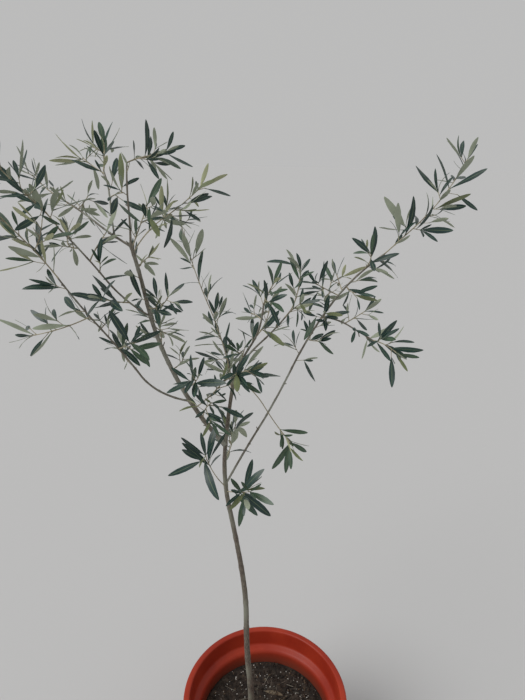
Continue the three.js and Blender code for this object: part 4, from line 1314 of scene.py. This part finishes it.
def dealt_leaves(name, grown, draw):
    """The leaves of all sprays as one mesh. Each spray has its tint above, and some leaves take another.
    Beneath, every two of the tints share one."""
    leaves, tops = [], []
    for _, own in grown.values():
        tint = draw.choice(len(TOP_TINTS), p=TINT_SHARES)
        leaves += own
        tops += [tint] * len(own)
    tops = np.array(tops)
    unders = len(TOP_TINTS) + tops // 2
    strays = draw.uniform(0, 1, len(leaves)) < STRAY_SHARE
    tops = np.where(strays, draw.integers(0, len(TOP_TINTS), len(leaves)), tops)
    return painted_leaves(name, leaves, leaf_paints, tops, unders, len(leaf_paints) - 1, draw)


leaf_draw = np.random.default_rng(5)
olive_leaves = dealt_leaves("olive_leaves", sprays, leaf_draw)
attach(olive_leaves, "root")
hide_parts(*[row[0] for row in SHOOTS])
small_leaves = dealt_leaves("small_leaves", fine_sprays, leaf_draw)
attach(small_leaves, "root")

# Litter: short bits of dead twig with bark like the trunk's, and a few dry leaves. They have dropped
# and lie on the soil, here and there a little tilted.
STICK_COUNT = 80
STICK_LENGTH = (5, 30)
STICK_THICK = (0.45, 1.1)
STICK_TAPER = 0.7
STICK_BEND = (-25, 25)
STICK_RISE = (-3, 9)
STICK_REACH = 0.82
LITTER_AREA = (0.02, 1)
DRY_COUNT = 4
DRY_REACH = 0.7
DRY_LIFT = 2.2
DRY_LENGTH = (26, 46)
DRY_SLENDER = 4.6
DRY_TINTS = [(0.130, 0.098, 0.062, 1), (0.220, 0.190, 0.140, 1)]
litter_draw = np.random.default_rng(77)


def on_soil(reach):
    """A drawn place on the soil within a share of its radius, even by area but for the very middle, in
    the tree's millimetres."""
    r = soil_reach * reach * math.sqrt(litter_draw.uniform(*LITTER_AREA))
    turn = litter_draw.uniform(0, 2 * math.pi)
    x, y = r * math.cos(turn), r * math.sin(turn)
    return np.array([x, y, float(soil_height(np.array(x), np.array(y)))]) / MM - TREE_FOOT


stick_parts = []
for k in range(STICK_COUNT):
    azimuth, bend = litter_draw.uniform(0, 360), litter_draw.uniform(*STICK_BEND)
    thick = litter_draw.uniform(*STICK_THICK)
    place = on_soil(STICK_REACH) + [0, 0, thick * STICK_TAPER]
    rise, length = litter_draw.uniform(*STICK_RISE), litter_draw.uniform(*STICK_LENGTH)
    stick = Limb(place, [azimuth, azimuth + bend], [rise, 0], length, (thick, thick * STICK_TAPER))
    relief = ridged(seed=100 + k, depth=0.10)
    stick_parts.append(tube(stick, pitch=3.0, sides=7, swell=even, relief=relief))
soil_sticks = joined("soil_sticks", stick_parts, trunk_paint)
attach(soil_sticks, "root")

dry_leaves = []
for _ in range(DRY_COUNT):
    azimuth = litter_draw.uniform(0, 2 * math.pi)
    length = litter_draw.uniform(*DRY_LENGTH)
    dry_leaves.append({
        "root": on_soil(DRY_REACH) + [0, 0, DRY_LIFT], "length": length, "width": length / DRY_SLENDER,
        "ahead": np.array([math.cos(azimuth), math.sin(azimuth), 0]), "face": np.array([0.0, 0, 1]),
    })
dry_paints = paints_of("dry_leaf", DRY_TINTS, roughness=0.85, spread=0.20)
kinds = litter_draw.integers(0, 2, DRY_COUNT)
fallen_leaves = painted_leaves("fallen_leaves", dry_leaves, dry_paints, kinds, 1 - kinds, 1, litter_draw)
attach(fallen_leaves, "root")
